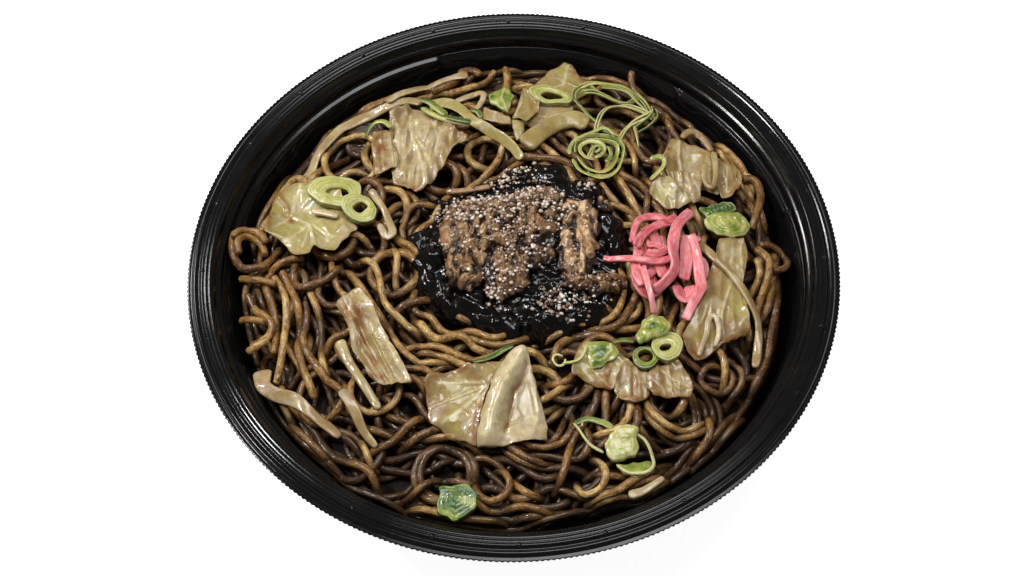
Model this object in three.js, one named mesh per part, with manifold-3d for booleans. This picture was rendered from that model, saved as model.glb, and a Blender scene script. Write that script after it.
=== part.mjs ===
// A round black takeaway bowl filled with yakisoba: dark fried noodles in one heap, with
// cabbage, spring onion, a mound of black sauce, peppered meat and pickled ginger on top.
// Millimetres, +Z up, the origin at the middle of the foot, -Y towards the eater.

import * as THREE from 'three';
import { mergeVertices } from 'three/addons/utils/BufferGeometryUtils.js';
import Module from 'manifold-3d';

const wasm = await Module();
wasm.setup();

// Driving dimensions.
const rimRadius = 100;
const bowlHeight = 56;
const wallThickness = 0.9;
const footInnerRadius = 57;
const footOuterRadius = 62;
const footRise = 1.6;
const wallFootHeight = 4.3;
const bowlSides = 44;
const heapRadius = 86;
const heapCrown = bowlHeight + 0.5;
const heapFall = 9;
const noodleWidth = 2.5;
const noodleStarts = 400;
const noodlesLaid = 23;
const noodleReach = 34;
const coreDepth = 1.3;
const coreSides = 36;
const gap = 0.4;

// The rim in section, from the outer edge inwards: how far in, and how far below the top.
const rimTop = [[0, 1.7], [1.7, 1.5], [2.6, 0.4], [3.6, 0.9], [4.8, 0], [7.7, 0], [9.2, 2.4],
  [10.3, 3.2], [10.7, 6], [12.5, 6.6]];
const rimUnderside = [[11.5, 7.5], [9.75, 6.9], [9.4, 4], [8.25, 2.7], [7.1, 1], [4.6, 1.3], [0, 2.6]];
const stackingPocketAngles = [14, 52, 105, 169, 199, 232, 285, 341];
const stackingPocketDepth = 1.4;

const colours = {
  bowl: 0x1c1c1d,
  noodle: 0x86683f,
  cabbage: 0xc0aa78,
  cabbageGreen: 0xb9b46f,
  cabbageRib: 0xdccb98,
  onion: 0x93b24c,
  onionPale: 0xc5cf8f,
  meat: 0x9a6a45,
  meatPale: 0xc79a6c,
  sauce: 0x141110,
  ginger: 0xe8707c,
};

const yakisoba = new THREE.Group();

function addPiece(name, geometry, color, roughness) {
  const material = new THREE.MeshStandardMaterial({ color, roughness, metalness: 0 });
  const piece = new THREE.Mesh(geometry, material);
  piece.name = name;
  yakisoba.add(piece);
}

// Seeded random numbers, so that the heap comes out the same every time.
function makeRandom(seed) {
  let state = seed;
  return () => {
    state = (state + 0x6d2b79f5) | 0;
    let mixed = Math.imul(state ^ (state >>> 15), 1 | state);
    mixed = (mixed + Math.imul(mixed ^ (mixed >>> 7), 61 | mixed)) ^ mixed;
    return ((mixed ^ (mixed >>> 14)) >>> 0) / 4294967296;
  };
}

function weld(geometry) {
  geometry.deleteAttribute('normal');
  geometry.deleteAttribute('uv');
  return mergeVertices(geometry, 1e-4);
}

function toSolid(geometry) {
  const welded = weld(geometry);
  const vertProperties = Float32Array.from(welded.attributes.position.array);
  const triVerts = Uint32Array.from(welded.index.array);
  return new wasm.Manifold(new wasm.Mesh({ numProp: 3, vertProperties, triVerts }));
}

// Joins solids into one body. The largest outer skin is kept, so a sealed hollow is filled.
function fuse(solids) {
  const joined = solids.reduce((sum, solid) => sum.add(solid));
  const skins = joined.decompose();
  const body = skins.reduce((largest, skin) => (skin.volume() > largest.volume() ? skin : largest));
  const mesh = body.getMesh();
  const geometry = new THREE.BufferGeometry();
  geometry.setAttribute('position', new THREE.BufferAttribute(mesh.vertProperties, 3));
  geometry.setIndex(new THREE.BufferAttribute(mesh.triVerts, 1));
  return geometry;
}

// Turns a section of [radius, height] points about the upright axis.
function turned(section, sides) {
  const points = section.map(([radius, height]) => new THREE.Vector2(radius, height));
  return new THREE.LatheGeometry(points, sides).rotateX(Math.PI / 2);
}

function moveEachVertex(geometry, move) {
  const position = geometry.attributes.position;
  const vertex = new THREE.Vector3();
  for (let i = 0; i < position.count; i += 1) {
    vertex.fromBufferAttribute(position, i);
    move(vertex, i);
    position.setXYZ(i, vertex.x, vertex.y, vertex.z);
  }
  return geometry;
}

// ---- The bowl: a thin black shell with a stepped, grooved rim and a pressed-up floor.

const wallTopRadius = rimRadius - 12.6;
const wallTopHeight = bowlHeight - 6.6;
const wallFootRadius = 65.2;

function wallRadiusAt(height) {
  const up = (height - wallFootHeight) / (wallTopHeight - wallFootHeight);
  const straight = 0.45 * up;
  const curved = 0.55 * (1 - (1 - up) ** 2);
  return wallFootRadius + (wallTopRadius - wallFootRadius) * (straight + curved);
}

function wallPoints(outward, heights) {
  return heights.map((height) => [wallRadiusAt(height) + outward, height]);
}

const wallHeights = [wallFootHeight, 15, 27, 39];
const outside = [
  [0, footRise],
  [footInnerRadius - 2, footRise],
  [footInnerRadius, 0],
  [footOuterRadius, 0],
  ...wallPoints(wallThickness + 0.1, wallHeights),
  ...rimUnderside.map(([inset, drop]) => [rimRadius - inset, bowlHeight - drop]),
];
const inside = [
  ...rimTop.map(([inset, drop]) => [rimRadius - inset, bowlHeight - drop]),
  ...wallPoints(0, wallHeights).reverse(),
  [footOuterRadius - 0.4, wallThickness],
  [footInnerRadius + 0.4, wallThickness],
  [footInnerRadius - 1.6, footRise + wallThickness],
  [0, footRise + wallThickness],
];

// Between the stacking lugs the ledge under the rim steps back into shallow pockets.
function pressPockets(vertex) {
  const ledge = vertex.z > bowlHeight - 8 && vertex.z < bowlHeight - 6.5;
  if (!ledge) return;
  const angle = THREE.MathUtils.radToDeg(Math.atan2(vertex.y, vertex.x));
  for (const pocket of stackingPocketAngles) {
    const away = Math.abs(THREE.MathUtils.euclideanModulo(angle - pocket + 180, 360) - 180);
    if (away < 180 / bowlSides) {
      const radius = Math.hypot(vertex.x, vertex.y);
      const stretch = (radius + stackingPocketDepth) / radius;
      vertex.x *= stretch;
      vertex.y *= stretch;
      return;
    }
  }
}

const bowl = moveEachVertex(turned([...outside, ...inside], bowlSides), pressPockets);
addPiece('bowl', bowl, colours.bowl, 0.4);

// ---- The heap of noodles, as a surface that the toppings lie on.

function heapTopAt(x, y) {
  const fall = heapFall * (Math.hypot(x, y) / heapRadius) ** 3;
  const swell = 0.6 * Math.sin(x / 13 + 0.6) * Math.cos(y / 15 - 0.4);
  return heapCrown - fall + swell;
}

function coreTopAt(x, y) {
  return heapTopAt(x, y) - coreDepth;
}

// The noodles keep out of the outlines of the toppings, and clear of the points along them.
const coveredOutlines = [];
const coveredPoints = [];
const coverReach = 3.1;

function isInside(x, y, outline) {
  let crossings = 0;
  outline.forEach((a, i) => {
    const b = outline[(i + 1) % outline.length];
    const spans = a.y > y !== b.y > y;
    if (spans && x < a.x + ((y - a.y) / (b.y - a.y)) * (b.x - a.x)) crossings += 1;
  });
  return crossings % 2 === 1;
}

function isCovered(x, y) {
  const near = coveredPoints.some(([px, py]) => Math.hypot(x - px, y - py) < coverReach);
  return near || coveredOutlines.some((outline) => isInside(x, y, outline));
}

// A closed smooth outline through corner points, as evenly spaced plan points.
function outlineThrough(corners, count) {
  const points = corners.map(([x, y]) => new THREE.Vector3(x, y, 0));
  const curve = new THREE.CatmullRomCurve3(points, true, 'catmullrom', 0.25);
  return curve.getSpacedPoints(count).slice(0, count);
}

// A sheet or lump on the heap: a polar net from its middle to its outline, with the upper and
// the lower face split into the same triangles.
function sheet(corners, { spokes, rings, bottomAt, thicknessAt }) {
  const outline = outlineThrough(corners, spokes);
  const middle = outline.reduce((sum, point) => sum.add(point), new THREE.Vector3());
  middle.divideScalar(spokes);
  coveredOutlines.push(outline);
  coveredPoints.push(...outline.map((point) => [point.x, point.y]));
  const positions = [];
  const netSize = 1 + spokes * rings;
  for (const isTop of [true, false]) {
    for (let i = 0; i < netSize; i += 1) {
      const ring = i === 0 ? 0 : 1 + Math.floor((i - 1) / spokes);
      const out = ring / rings;
      const edge = outline[(i + spokes - 1) % spokes];
      const x = THREE.MathUtils.lerp(middle.x, edge.x, out);
      const y = THREE.MathUtils.lerp(middle.y, edge.y, out);
      const bottom = bottomAt(x, y, out);
      positions.push(x, y, isTop ? bottom + thicknessAt(x, y, out) : bottom);
    }
  }
  const index = [];
  const addBoth = (a, b, c) => index.push(a, b, c, netSize + a, netSize + c, netSize + b);
  for (let i = 0; i < spokes; i += 1) {
    const next = (i + 1) % spokes;
    addBoth(0, 1 + i, 1 + next);
    for (let ring = 1; ring < rings; ring += 1) {
      const inner = 1 + (ring - 1) * spokes;
      const outer = inner + spokes;
      addBoth(inner + i, outer + i, outer + next);
      addBoth(inner + i, outer + next, inner + next);
    }
    const rim = 1 + (rings - 1) * spokes;
    index.push(rim + i, netSize + rim + i, netSize + rim + next);
    index.push(rim + i, netSize + rim + next, rim + next);
  }
  const geometry = new THREE.BufferGeometry();
  geometry.setAttribute('position', new THREE.Float32BufferAttribute(positions, 3));
  geometry.setIndex(index);
  return facingOut(geometry, outline);
}

// An outline drawn clockwise gives a net that faces inwards, so its triangles are turned over.
function facingOut(geometry, outline) {
  if (THREE.ShapeUtils.area(outline) > 0) return geometry;
  const index = geometry.index.array;
  for (let i = 0; i < index.length; i += 3) {
    [index[i + 1], index[i + 2]] = [index[i + 2], index[i + 1]];
  }
  return geometry;
}

const stripStep = 5.5;

// A flat strip bent along a path of [x, y, lift] points; it lies on the heap at that lift.
function strip(path, { width, thickness }) {
  const points = path.map(([x, y, lift]) => new THREE.Vector3(x, y, lift));
  const curve = new THREE.CatmullRomCurve3(points, false, 'catmullrom', 0.5);
  const steps = Math.max(4, Math.round(curve.getLength() / stripStep));
  const bent = new THREE.BoxGeometry(1, 1, 1, steps, 1, 1);
  return moveEachVertex(bent, (vertex) => {
    const along = vertex.x + 0.5;
    const point = curve.getPointAt(along);
    const direction = curve.getTangentAt(along);
    const across = new THREE.Vector2(-direction.y, direction.x).normalize();
    const taper = 1 - 0.35 * Math.abs(2 * along - 1) ** 4;
    const x = point.x + across.x * vertex.y * width * taper;
    const y = point.y + across.y * vertex.y * width * taper;
    const z = coreTopAt(x, y) + point.z + (vertex.z + 0.5) * thickness;
    coveredPoints.push([x, y]);
    vertex.set(x, y, z);
  });
}

// A cut ring of spring onion: an oval band that stands on the heap, turned and lifted.
function onionRing({ x, y, long, wide, lift, turn = 0, band = 1.3, height = 1.4, sides = 14 }) {
  const section = [[0, 0], [0, height], [1, height], [1, 0], [0, 0]];
  const cos = Math.cos(THREE.MathUtils.degToRad(turn));
  const sin = Math.sin(THREE.MathUtils.degToRad(turn));
  return moveEachVertex(turned(section, sides), (vertex, i) => {
    const angle = -(Math.floor(i / section.length) / sides) * 2 * Math.PI;
    const inset = band * (1 - section[i % section.length][0]);
    const alongX = (long / 2 - inset) * Math.cos(angle);
    const alongY = (wide / 2 - inset) * Math.sin(angle);
    const px = x + alongX * cos - alongY * sin;
    const py = y + alongX * sin + alongY * cos;
    coveredPoints.push([px, py]);
    vertex.set(px, py, coreTopAt(px, py) + lift + vertex.z);
  });
}

// How high a topping starts over the core: on the noodles, or on a leaf.
const onNoodles = gap;
const onLeaf = 2.9;
const leafThickness = 0.9;

function rippleAt(x, y, height) {
  return height * (0.5 + 0.5 * Math.sin(x / 2.9 + y / 4.1) * Math.cos(y / 3.3 - x / 5.2));
}

// ---- The black sauce: a glossy lumpy mound in the middle of the heap.

const sauceMiddle = { x: 2, y: 5 };
const sauceReach = { x: 36, y: 32 };
const sauceEdge = 0.8;
const sauceRise = 1.8;
const sauceLump = 0.6;

function sauceTopAt(x, y) {
  const away = ((x - sauceMiddle.x) / sauceReach.x) ** 2 + ((y - sauceMiddle.y) / sauceReach.y) ** 2;
  return coreTopAt(x, y) + gap + sauceEdge + sauceRise * Math.max(0, 1 - away);
}

const sauceOutline = [[-32, 3], [-29, 14], [-21, 24], [-6, 26.5], [-2, 34], [4, 38], [16, 36], [28, 29],
  [35, 14], [34, -5], [30, -15], [20, -22], [7, -26], [-3, -27.5], [-20, -18], [-28, -10]];
const sauceMound = sheet(sauceOutline, {
  spokes: 24,
  rings: 4,
  bottomAt: (x, y) => coreTopAt(x, y) + gap,
  thicknessAt: (x, y) => sauceTopAt(x, y) - coreTopAt(x, y) - gap + rippleAt(x, y, sauceLump),
});

// A coarse grain of cracked pepper, half sunk in what it lies on.
const grainRadius = 0.75;

function grain(x, y, z) {
  return toSolid(new THREE.OctahedronGeometry(grainRadius).translate(x, y, z));
}

const sauceGrains = [[13, -15], [17, -18], [22, -16], [9, -20], [16, 31], [6, 32], [22, 27]];
const grainsOnSauce = sauceGrains.map(([x, y]) => (
  grain(x, y, sauceTopAt(x, y) + rippleAt(x, y, sauceLump))
));
addPiece('black_sauce', fuse([toSolid(sauceMound), ...grainsOnSauce]), colours.sauce, 0.15);

// ---- The meat: wrinkled, peppered slices on the sauce.

const meatEdge = 1.4;
const meatWrinkle = 0.9;

function meatBottomAt(x, y) {
  return sauceTopAt(x, y) + sauceLump + gap;
}

function meatSlice(corners, { rise, spokes, rings }) {
  return sheet(corners, {
    spokes,
    rings,
    bottomAt: meatBottomAt,
    thicknessAt: (x, y, out) => meatEdge + rise * (1 - out ** 2) + rippleAt(y, x, meatWrinkle),
  });
}

const meatOutline = [[-22, 11], [-19, 21], [-10, 24.5], [4, 27], [13, 26], [15.5, 20], [13, 4], [12, -3],
  [6, -6], [-2, -12], [-7, -10.5], [-9, -1.5], [-20, 2.5]];
const meatRise = 2.6;
const meatMiddle = { x: -2.5, y: 8.5 };
const meat = meatSlice(meatOutline, { rise: meatRise, spokes: 22, rings: 4 });
const meatReach = 19;
const meatGrains = 15;
const meatGrainReach = 13;
const goldenAngle = Math.PI * (3 - Math.sqrt(5));

function meatTopAt(x, y) {
  const away = Math.hypot(x - meatMiddle.x, y - meatMiddle.y) / meatReach;
  const crown = meatEdge + meatRise * (1 - away ** 2);
  return meatBottomAt(x, y) + crown + rippleAt(y, x, meatWrinkle);
}

const grainsOnMeat = Array.from({ length: meatGrains }, (_, i) => {
  const reach = meatGrainReach * Math.sqrt((i + 0.5) / meatGrains);
  const x = meatMiddle.x + reach * Math.cos(i * goldenAngle);
  const y = meatMiddle.y + 1 + reach * Math.sin(i * goldenAngle);
  return grain(x, y, meatTopAt(x, y));
});
addPiece('meat_main', fuse([toSolid(meat), ...grainsOnMeat]), colours.meat, 0.5);

const meatPieces = {
  meat_round: [[-20, -5], [-18, -1.5], [-14.5, -1.2], [-10.5, -4], [-10.5, -8], [-13, -10.5],
    [-17.5, -10]],
  meat_folds: [[17, 18.5], [20, 20.5], [25, 18.5], [26, 13], [24, 2], [21, -5.5], [18, -6], [15, -1],
    [17.5, 13]],
  meat_slice: [[14, -8], [24, -7.5], [27, -4], [33, -4], [34.5, -7], [29.5, -12], [22, -12], [15, -11]],
};
for (const [name, corners] of Object.entries(meatPieces)) {
  addPiece(name, meatSlice(corners, { rise: 2.2, spokes: 12, rings: 3 }), colours.meatPale, 0.5);
}
const scrapCorners = [[27.5, 22], [31, 22], [30.5, 18.5], [28, 17]];
const meatScrap = meatSlice(scrapCorners, { rise: 0.8, spokes: 8, rings: 1 });
addPiece('meat_scrap', meatScrap, colours.meatPale, 0.5);
const meatStrip = strip([[-21, 27.5, 2.5], [-13, 27.5, 2.5], [-6, 28.5, 2.5]], { width: 2, thickness: 1 });
addPiece('meat_strip', meatStrip, colours.meat, 0.5);

// ---- Pickled ginger: soft pink shreds crossing one another over a small heap.

const gingerCorners = [[38, 9], [44, 14], [51, 13], [53.5, 6], [52, -6], [48, -12], [42, -13], [38, -5]];
const gingerHeap = sheet(gingerCorners, {
  spokes: 12,
  rings: 2,
  bottomAt: (x, y) => coreTopAt(x, y) + gap,
  thicknessAt: (x, y, out) => 1.2 + 1.8 * (1 - out ** 2),
});
const gingerShreds = [
  [[37.5, 4, 2], [39, 13, 2.6], [43, 16, 2.8], [48, 13.5, 2.4]],
  [[39, 3, 2.4], [44, 10, 2.8], [49, 14, 2.6], [54, 17.5, 2.4]],
  [[53, 16, 3.2], [49.5, 8, 3.6], [49, 0, 3.4], [48.5, -8, 2.8], [43, -13, 2]],
  [[38.5, 5, 2], [38.5, -4, 2], [39.5, -11, 2], [43, -14.5, 1.6]],
  [[40, -5, 1.8], [40.5, -13, 2], [42, -20, 1.4]],
  [[53, 9, 2.6], [53, 0, 2.8], [52.5, -9, 2.4]],
  [[50, 8, 2.6], [55.5, 2, 3.6], [57.5, -5, 3.8], [57, -12, 3.4], [53, -20.5, 3.1]],
  [[40, 2, 2.8], [45, 2, 3], [49, -1, 2.8]],
];
const gingerPale = [[27, 0.8, 3.4], [34, -1.5, 3], [46, -3, 2.4]];
const shreds = [...gingerShreds, gingerPale].map((path) => (
  toSolid(strip(path, { width: 2.8, thickness: 1.4 }))
));
addPiece('pickled_ginger', fuse([toSolid(gingerHeap), ...shreds]), colours.ginger, 0.35);

// ---- Cabbage leaves, wilted and wavy.

function leaf(corners, { lift = onNoodles, ripple = 1.4, thicknessAt = () => leafThickness, spokes = 12 }) {
  return sheet(corners, {
    spokes,
    rings: 2,
    bottomAt: (x, y) => coreTopAt(x, y) + lift + rippleAt(x, y, ripple),
    thicknessAt,
  });
}

const leaves = {
  cabbage_back_left: [[-37, 63], [-29, 63], [-20, 54], [-13, 48], [-20, 40], [-29, 29], [-36, 33],
    [-37.5, 48]],
  cabbage_back_left_fold: [[-45, 52], [-40, 52], [-39, 42], [-41, 36], [-45.5, 35]],
  cabbage_left: [[-76, 14], [-75, 22], [-69, 35], [-62, 36], [-54, 30], [-47.5, 16], [-52, 6], [-66, 4]],
  cabbage_front_left: [[-53, -11], [-46, -8], [-39, -23], [-31, -41], [-37, -41.5], [-43, -39],
    [-49, -24]],
  cabbage_front_fan: [[-26, -43], [-21, -38], [-12, -37.5], [-7, -40], [-9.5, -46], [-14, -61], [-25, -54]],
  cabbage_front_right: [[17, -40], [20, -35.5], [33, -34.5], [29.5, -44], [22, -43.5]],
  cabbage_front_right_fold: [[31.5, -45], [35, -36.5], [42, -38.5], [49.5, -35], [51.5, -47],
    [36, -47.5]],
  cabbage_right: [[63, 8], [72, 9], [73, -6], [71, -24], [64, -27], [59, -34], [53, -35.5], [52, -27],
    [59, -9]],
  cabbage_back_right: [[51, 49.5], [56, 49], [62, 42.5], [62, 34.5], [54, 34], [49.5, 39]],
  cabbage_back_right_wet: [[53.5, 31], [60, 31.5], [64, 27], [59, 24], [55, 26]],
  cabbage_back_right_end: [[66.5, 38.5], [72, 35.5], [72.5, 31], [69, 26.5], [66.5, 26.5]],
  cabbage_behind_ginger: [[44, 26.5], [50, 29.5], [52.5, 25.5], [50, 20.5], [45, 21]],
  cabbage_back: [[8, 69], [13, 75], [17, 79], [21, 79], [27, 71], [27, 62.5], [20, 60.5], [9, 61]],
  cabbage_back_stalk: [[0, 60], [3, 65.5], [6, 61], [5, 56.5], [1.5, 55.5]],
};
for (const [name, corners] of Object.entries(leaves)) {
  const isGreen = name === 'cabbage_left';
  addPiece(name, leaf(corners, {}), isGreen ? colours.cabbageGreen : colours.cabbage, 0.4);
}

// The front leaf has a thick pale rib from its point to its wide cut edge.
const ribTop = new THREE.Vector2(2, -36);
const ribFoot = new THREE.Vector2(-8, -62);
const ribHalfWidth = 3;
const ribHeight = 2.2;

function ribThicknessAt(x, y) {
  const along = ribFoot.clone().sub(ribTop).normalize();
  const away = new THREE.Vector2(x, y).sub(ribTop).cross(along);
  return leafThickness + ribHeight * Math.exp(-((away / ribHalfWidth) ** 2));
}

const ribbedOutline = [[0, -34.5], [5, -37], [7.5, -47], [9.5, -60.5], [-11.5, -63], [-10, -56],
  [-8, -48], [-4.5, -40]];
const ribbedLeaf = leaf(ribbedOutline, { ripple: 0.8, thicknessAt: ribThicknessAt, spokes: 18 });
addPiece('cabbage_front_rib', ribbedLeaf, colours.cabbageRib, 0.4);

// Cabbage cut into strips, and the thick stalk of the leaf at the back.
const strips = {
  cabbage_strip_back_left: {
    width: 3.4,
    path: [[-65, 40], [-62, 48.5], [-54, 59], [-46, 65], [-36, 69], [-29, 69]],
  },
  cabbage_strip_back: { width: 2.6, path: [[-33, 73.5], [-27, 74.5], [-20, 75.5], [-13, 77]] },
  cabbage_strip_folded: {
    width: 2.2,
    path: [[-44.5, 30.5], [-40, 22], [-36.8, 13], [-39, 11], [-41.5, 16]],
  },
  cabbage_strip_outer_left: {
    width: 3.4,
    path: [[-76.5, -30], [-76, -37], [-70, -42], [-62, -47], [-52, -56]],
  },
  cabbage_stick_left: { width: 3, path: [[-55, -24], [-52.5, -32], [-48, -40], [-40, -51]] },
  cabbage_stick_front: { width: 3.2, path: [[-52, -42], [-47, -51], [-41, -60]] },
  cabbage_stub_front: { width: 2.8, path: [[33, -75.5], [37, -74], [41, -71.5]] },
  cabbage_curl_back: { width: 1.8, path: [[-12.5, 68], [-9.5, 68.5], [-9, 62], [-11.5, 58.5]] },
  cabbage_edge_back_right: { width: 2.2, path: [[55.5, 52], [58, 54], [62, 51], [65.5, 44]] },
  cabbage_rib_back: { width: 4.2, thickness: 2, path: [[5, 43.5], [11.5, 51], [19.5, 55.5], [27, 53]] },
  cabbage_long_green: {
    width: 4.2, lift: onLeaf,
    path: [[-24, 65.5], [-18, 61], [-10, 53], [-5, 46], [2, 38]],
  },
  cabbage_sliver_left: { width: 2, lift: onLeaf, path: [[-64, 22], [-59, 21.2], [-54.5, 19.5]] },
  cabbage_strip_right: { width: 2.6, lift: onLeaf, path: [[61, 3], [68, -7], [73, -17], [74, -32]] },
  cabbage_loop_right: {
    width: 1.6, lift: onLeaf,
    path: [[54, -33], [57, -26], [58.5, -20.5], [61, -21], [61, -30]],
  },
  cabbage_loop_back_right: {
    width: 2, lift: onLeaf,
    path: [[64.5, 41], [65, 30], [63, 25.5], [60.5, 31]],
  },
};
for (const [name, cut] of Object.entries(strips)) {
  const { path, width, lift = onNoodles, thickness = leafThickness } = cut;
  const lifted = path.map(([x, y]) => [x, y, lift]);
  addPiece(name, strip(lifted, { width, thickness }), colours.cabbage, 0.4);
}

// ---- Spring onion: cut rings, a curled heap of fine slices, solid ends and green slivers.

const rings = {
  onion_ring_left: { x: -56, y: 29.5, long: 16, wide: 10, band: 3.2, lift: onLeaf },
  onion_ring_left_small: { x: -46.5, y: 19.5, long: 10.5, wide: 10, band: 2.8, lift: onLeaf },
  onion_ring_back: { x: 12, y: 64, long: 13.5, wide: 5.5, lift: onLeaf },
  onion_ring_front_right: { x: 44.5, y: -33.5, long: 12, wide: 9.5, band: 2.8, lift: onLeaf },
  onion_ring_front_dark: { x: 35.2, y: -37.2, long: 6.5, wide: 7, band: 1.6, lift: onLeaf },
};
for (const [name, ring] of Object.entries(rings)) {
  addPiece(name, onionRing(ring), colours.onion, 0.35);
}

const onionStrips = {
  onion_slice_back_left: { width: 3.4, lift: onLeaf, path: [[-28.5, 62.5], [-22, 57.5], [-14.5, 51]] },
  onion_hook_right: { width: 1.4, path: [[42, 36.5], [45.5, 38], [47, 35], [43.5, 30.5]] },
  onion_arc_front: { width: 1.3, path: [[24, -64.5], [19.5, -61], [16.5, -56], [20, -53], [26, -55]] },
  onion_arc_front_right: {
    width: 1.4,
    path: [[36, -58.5], [39.5, -62], [40, -67], [37, -70.5], [31, -70.5]],
  },
  onion_sliver_front: { width: 1.6, path: [[-10.5, -35.5], [-5.5, -32.5], [-1.5, -31]] },
};
for (const [name, { path, width, lift = onNoodles }] of Object.entries(onionStrips)) {
  const lifted = path.map(([x, y]) => [x, y, lift]);
  addPiece(name, strip(lifted, { width, thickness: 1 }), colours.onion, 0.35);
}

// Fine curls tangled at the back right: two heaps of rings, and two strands that tie them together.
const curls = [
  { x: 33.5, y: 58.5, long: 26, wide: 19, turn: -5, band: 1.8, lift: onLeaf, sides: 18 },
  { x: 36, y: 60.5, long: 13, wide: 5.5, lift: onLeaf },
  { x: 27, y: 38.5, long: 14.5, wide: 14, lift: onNoodles },
  { x: 26, y: 40, long: 8, wide: 5, lift: onNoodles },
];
const strands = [
  [[21.5, 58, 4], [25, 52.5, 4], [29, 47.5, 2.6], [33, 43, 1.2]],
  [[25, 42, 1.2], [28, 49, 2.6], [31, 55.5, 4], [36, 58, 4], [44, 56, 4]],
];
const curlSolids = curls.map((curl) => toSolid(onionRing(curl)));
const strandSolids = strands.map((path) => toSolid(strip(path, { width: 1.4, thickness: 1 })));
addPiece('onion_curls_back_right', fuse([...curlSolids, ...strandSolids]), colours.onionPale, 0.35);

const onionLumps = {
  onion_leaf_back: {
    lift: onNoodles, thickness: 1.2,
    corners: [[-7, 67], [-1, 70], [1.5, 67], [-1.5, 61.5], [-5, 63]],
  },
  onion_slice_right_top: {
    lift: onNoodles, thickness: 1.6,
    corners: [[58, 20], [62, 22], [69.5, 22], [69.5, 19.5]],
  },
  onion_slice_right: {
    lift: onLeaf, thickness: 2,
    corners: [[60, 13], [65, 9.5], [73.5, 13], [68, 17.5], [63, 16.5]],
  },
  onion_mash_front: {
    lift: onLeaf, thickness: 1.6,
    corners: [[20.5, -36], [24, -32], [30.5, -34.5], [25.5, -38]],
  },
  onion_skin_front: {
    lift: onNoodles, thickness: 0.8,
    corners: [[37, -27], [41, -23], [45, -23], [46, -27], [41, -29]],
  },
  onion_cup_front: {
    lift: onNoodles, thickness: 2.6,
    corners: [[26, -62], [29, -57.5], [34, -62], [30, -67]],
  },
  onion_end_front: {
    lift: onNoodles, thickness: 4.4,
    corners: [[-22.5, -77], [-17, -72], [-12, -77.5], [-17, -82]],
  },
};
for (const [name, { corners, lift, thickness }] of Object.entries(onionLumps)) {
  const lump = leaf(corners, { lift, ripple: 0.4, thicknessAt: () => thickness, spokes: 10 });
  addPiece(name, lump, colours.onion, 0.35);
}

// ---- The noodles: a core that fills the bowl, with the noodles on its surface fused to it.

const coreBottom = footRise + wallThickness + gap;
const coreWallGap = 0.7;
const coreShoulder = heapRadius - 6;
const shoulderDrop = 0.1;

const coreSection = [
  [0, coreBottom],
  [footOuterRadius, coreBottom],
  ...wallPoints(-coreWallGap, [6, 18, 30, 40]),
  [heapRadius - 2, bowlHeight - 12.5],
  ...[coreShoulder, 68, 55, 41, 26, 12, 0].map((radius) => [radius, bowlHeight]),
];

function settleTop(vertex) {
  if (vertex.z === bowlHeight) vertex.z = coreTopAt(vertex.x, vertex.y);
}

const heapCore = toSolid(moveEachVertex(turned(coreSection, coreSides), settleTop));

const noodleStep = 5;
const noodleNearest = 26;
const noodleSides = 6;
const noodleDrift = 1.5;
const noodleWander = 0.6;
const noodleSink = 0.35;
const noodleSway = 0.35;
const random = makeRandom(7);

// One noodle: a tube with few sides that runs round the heap, half sunk in the core.
function noodle(points, thickness) {
  const section = new THREE.Shape();
  for (let i = 0; i < noodleSides; i += 1) {
    const angle = (i * 2 * Math.PI) / noodleSides;
    const corner = [Math.cos(angle), Math.sin(angle)].map((part) => (part * thickness) / 2);
    if (i === 0) section.moveTo(...corner);
    else section.lineTo(...corner);
  }
  const extrudePath = new THREE.CatmullRomCurve3(points, false, 'catmullrom', 0.5);
  const steps = points.length - 1;
  return new THREE.ExtrudeGeometry(section, { steps, extrudePath, bevelEnabled: false });
}

// Both ends grow from the start, along the ring-wise sweep of the heap, until something stops them.
function routeFrom(startX, startY) {
  const route = [[startX, startY]];
  const drift = (random() - 0.5) * noodleDrift;
  for (const way of [1, -1]) {
    let [x, y] = [startX, startY];
    let turn = drift;
    for (let laid = 0; laid < noodleReach; laid += noodleStep) {
      const heading = Math.atan2(y, x) + Math.PI / 2 + turn;
      x += way * noodleStep * Math.cos(heading);
      y += way * noodleStep * Math.sin(heading);
      turn += (random() - 0.5) * noodleWander;
      const radius = Math.hypot(x, y);
      if (radius > heapRadius - 2.5 || radius < noodleNearest || isCovered(x, y)) break;
      if (way === 1) route.push([x, y]);
      else route.unshift([x, y]);
    }
  }
  return route;
}

// Starts spread evenly over the heap; one too close to a noodle already laid is passed over.
const spacing = 6;
const [angleStride, reachStride] = [0.7548776662, 0.569840291];
const fewestPoints = 4;
const laidPoints = [];
const noodles = [];

function isTaken(x, y) {
  return laidPoints.some(([px, py]) => Math.hypot(x - px, y - py) < spacing);
}

for (let i = 0; i < noodleStarts && noodles.length < noodlesLaid; i += 1) {
  const turnedBy = 2 * Math.PI * i * angleStride;
  const share = (i * reachStride) % 1;
  const reach = Math.sqrt(THREE.MathUtils.lerp(noodleNearest ** 2, (heapRadius - 3) ** 2, share));
  const [startX, startY] = [reach * Math.cos(turnedBy), reach * Math.sin(turnedBy)];
  const blocked = isCovered(startX, startY) || isTaken(startX, startY);
  const route = blocked ? [] : routeFrom(startX, startY);
  if (route.length >= fewestPoints) {
    laidPoints.push(...route);
    const points = route.map(([x, y], k) => {
      const overShoulder = Math.max(0, Math.hypot(x, y) - coreShoulder);
      const sway = noodleSway * Math.sin(k * 1.3 + i) - shoulderDrop * overShoulder ** 2;
      return new THREE.Vector3(x, y, coreTopAt(x, y) + noodleSink + sway);
    });
    noodles.push(toSolid(noodle(points, noodleWidth * (0.92 + 0.16 * random()))));
  }
}
addPiece('noodle_heap', fuse([heapCore, ...noodles]), colours.noodle, 0.4);

export default yakisoba;
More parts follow.
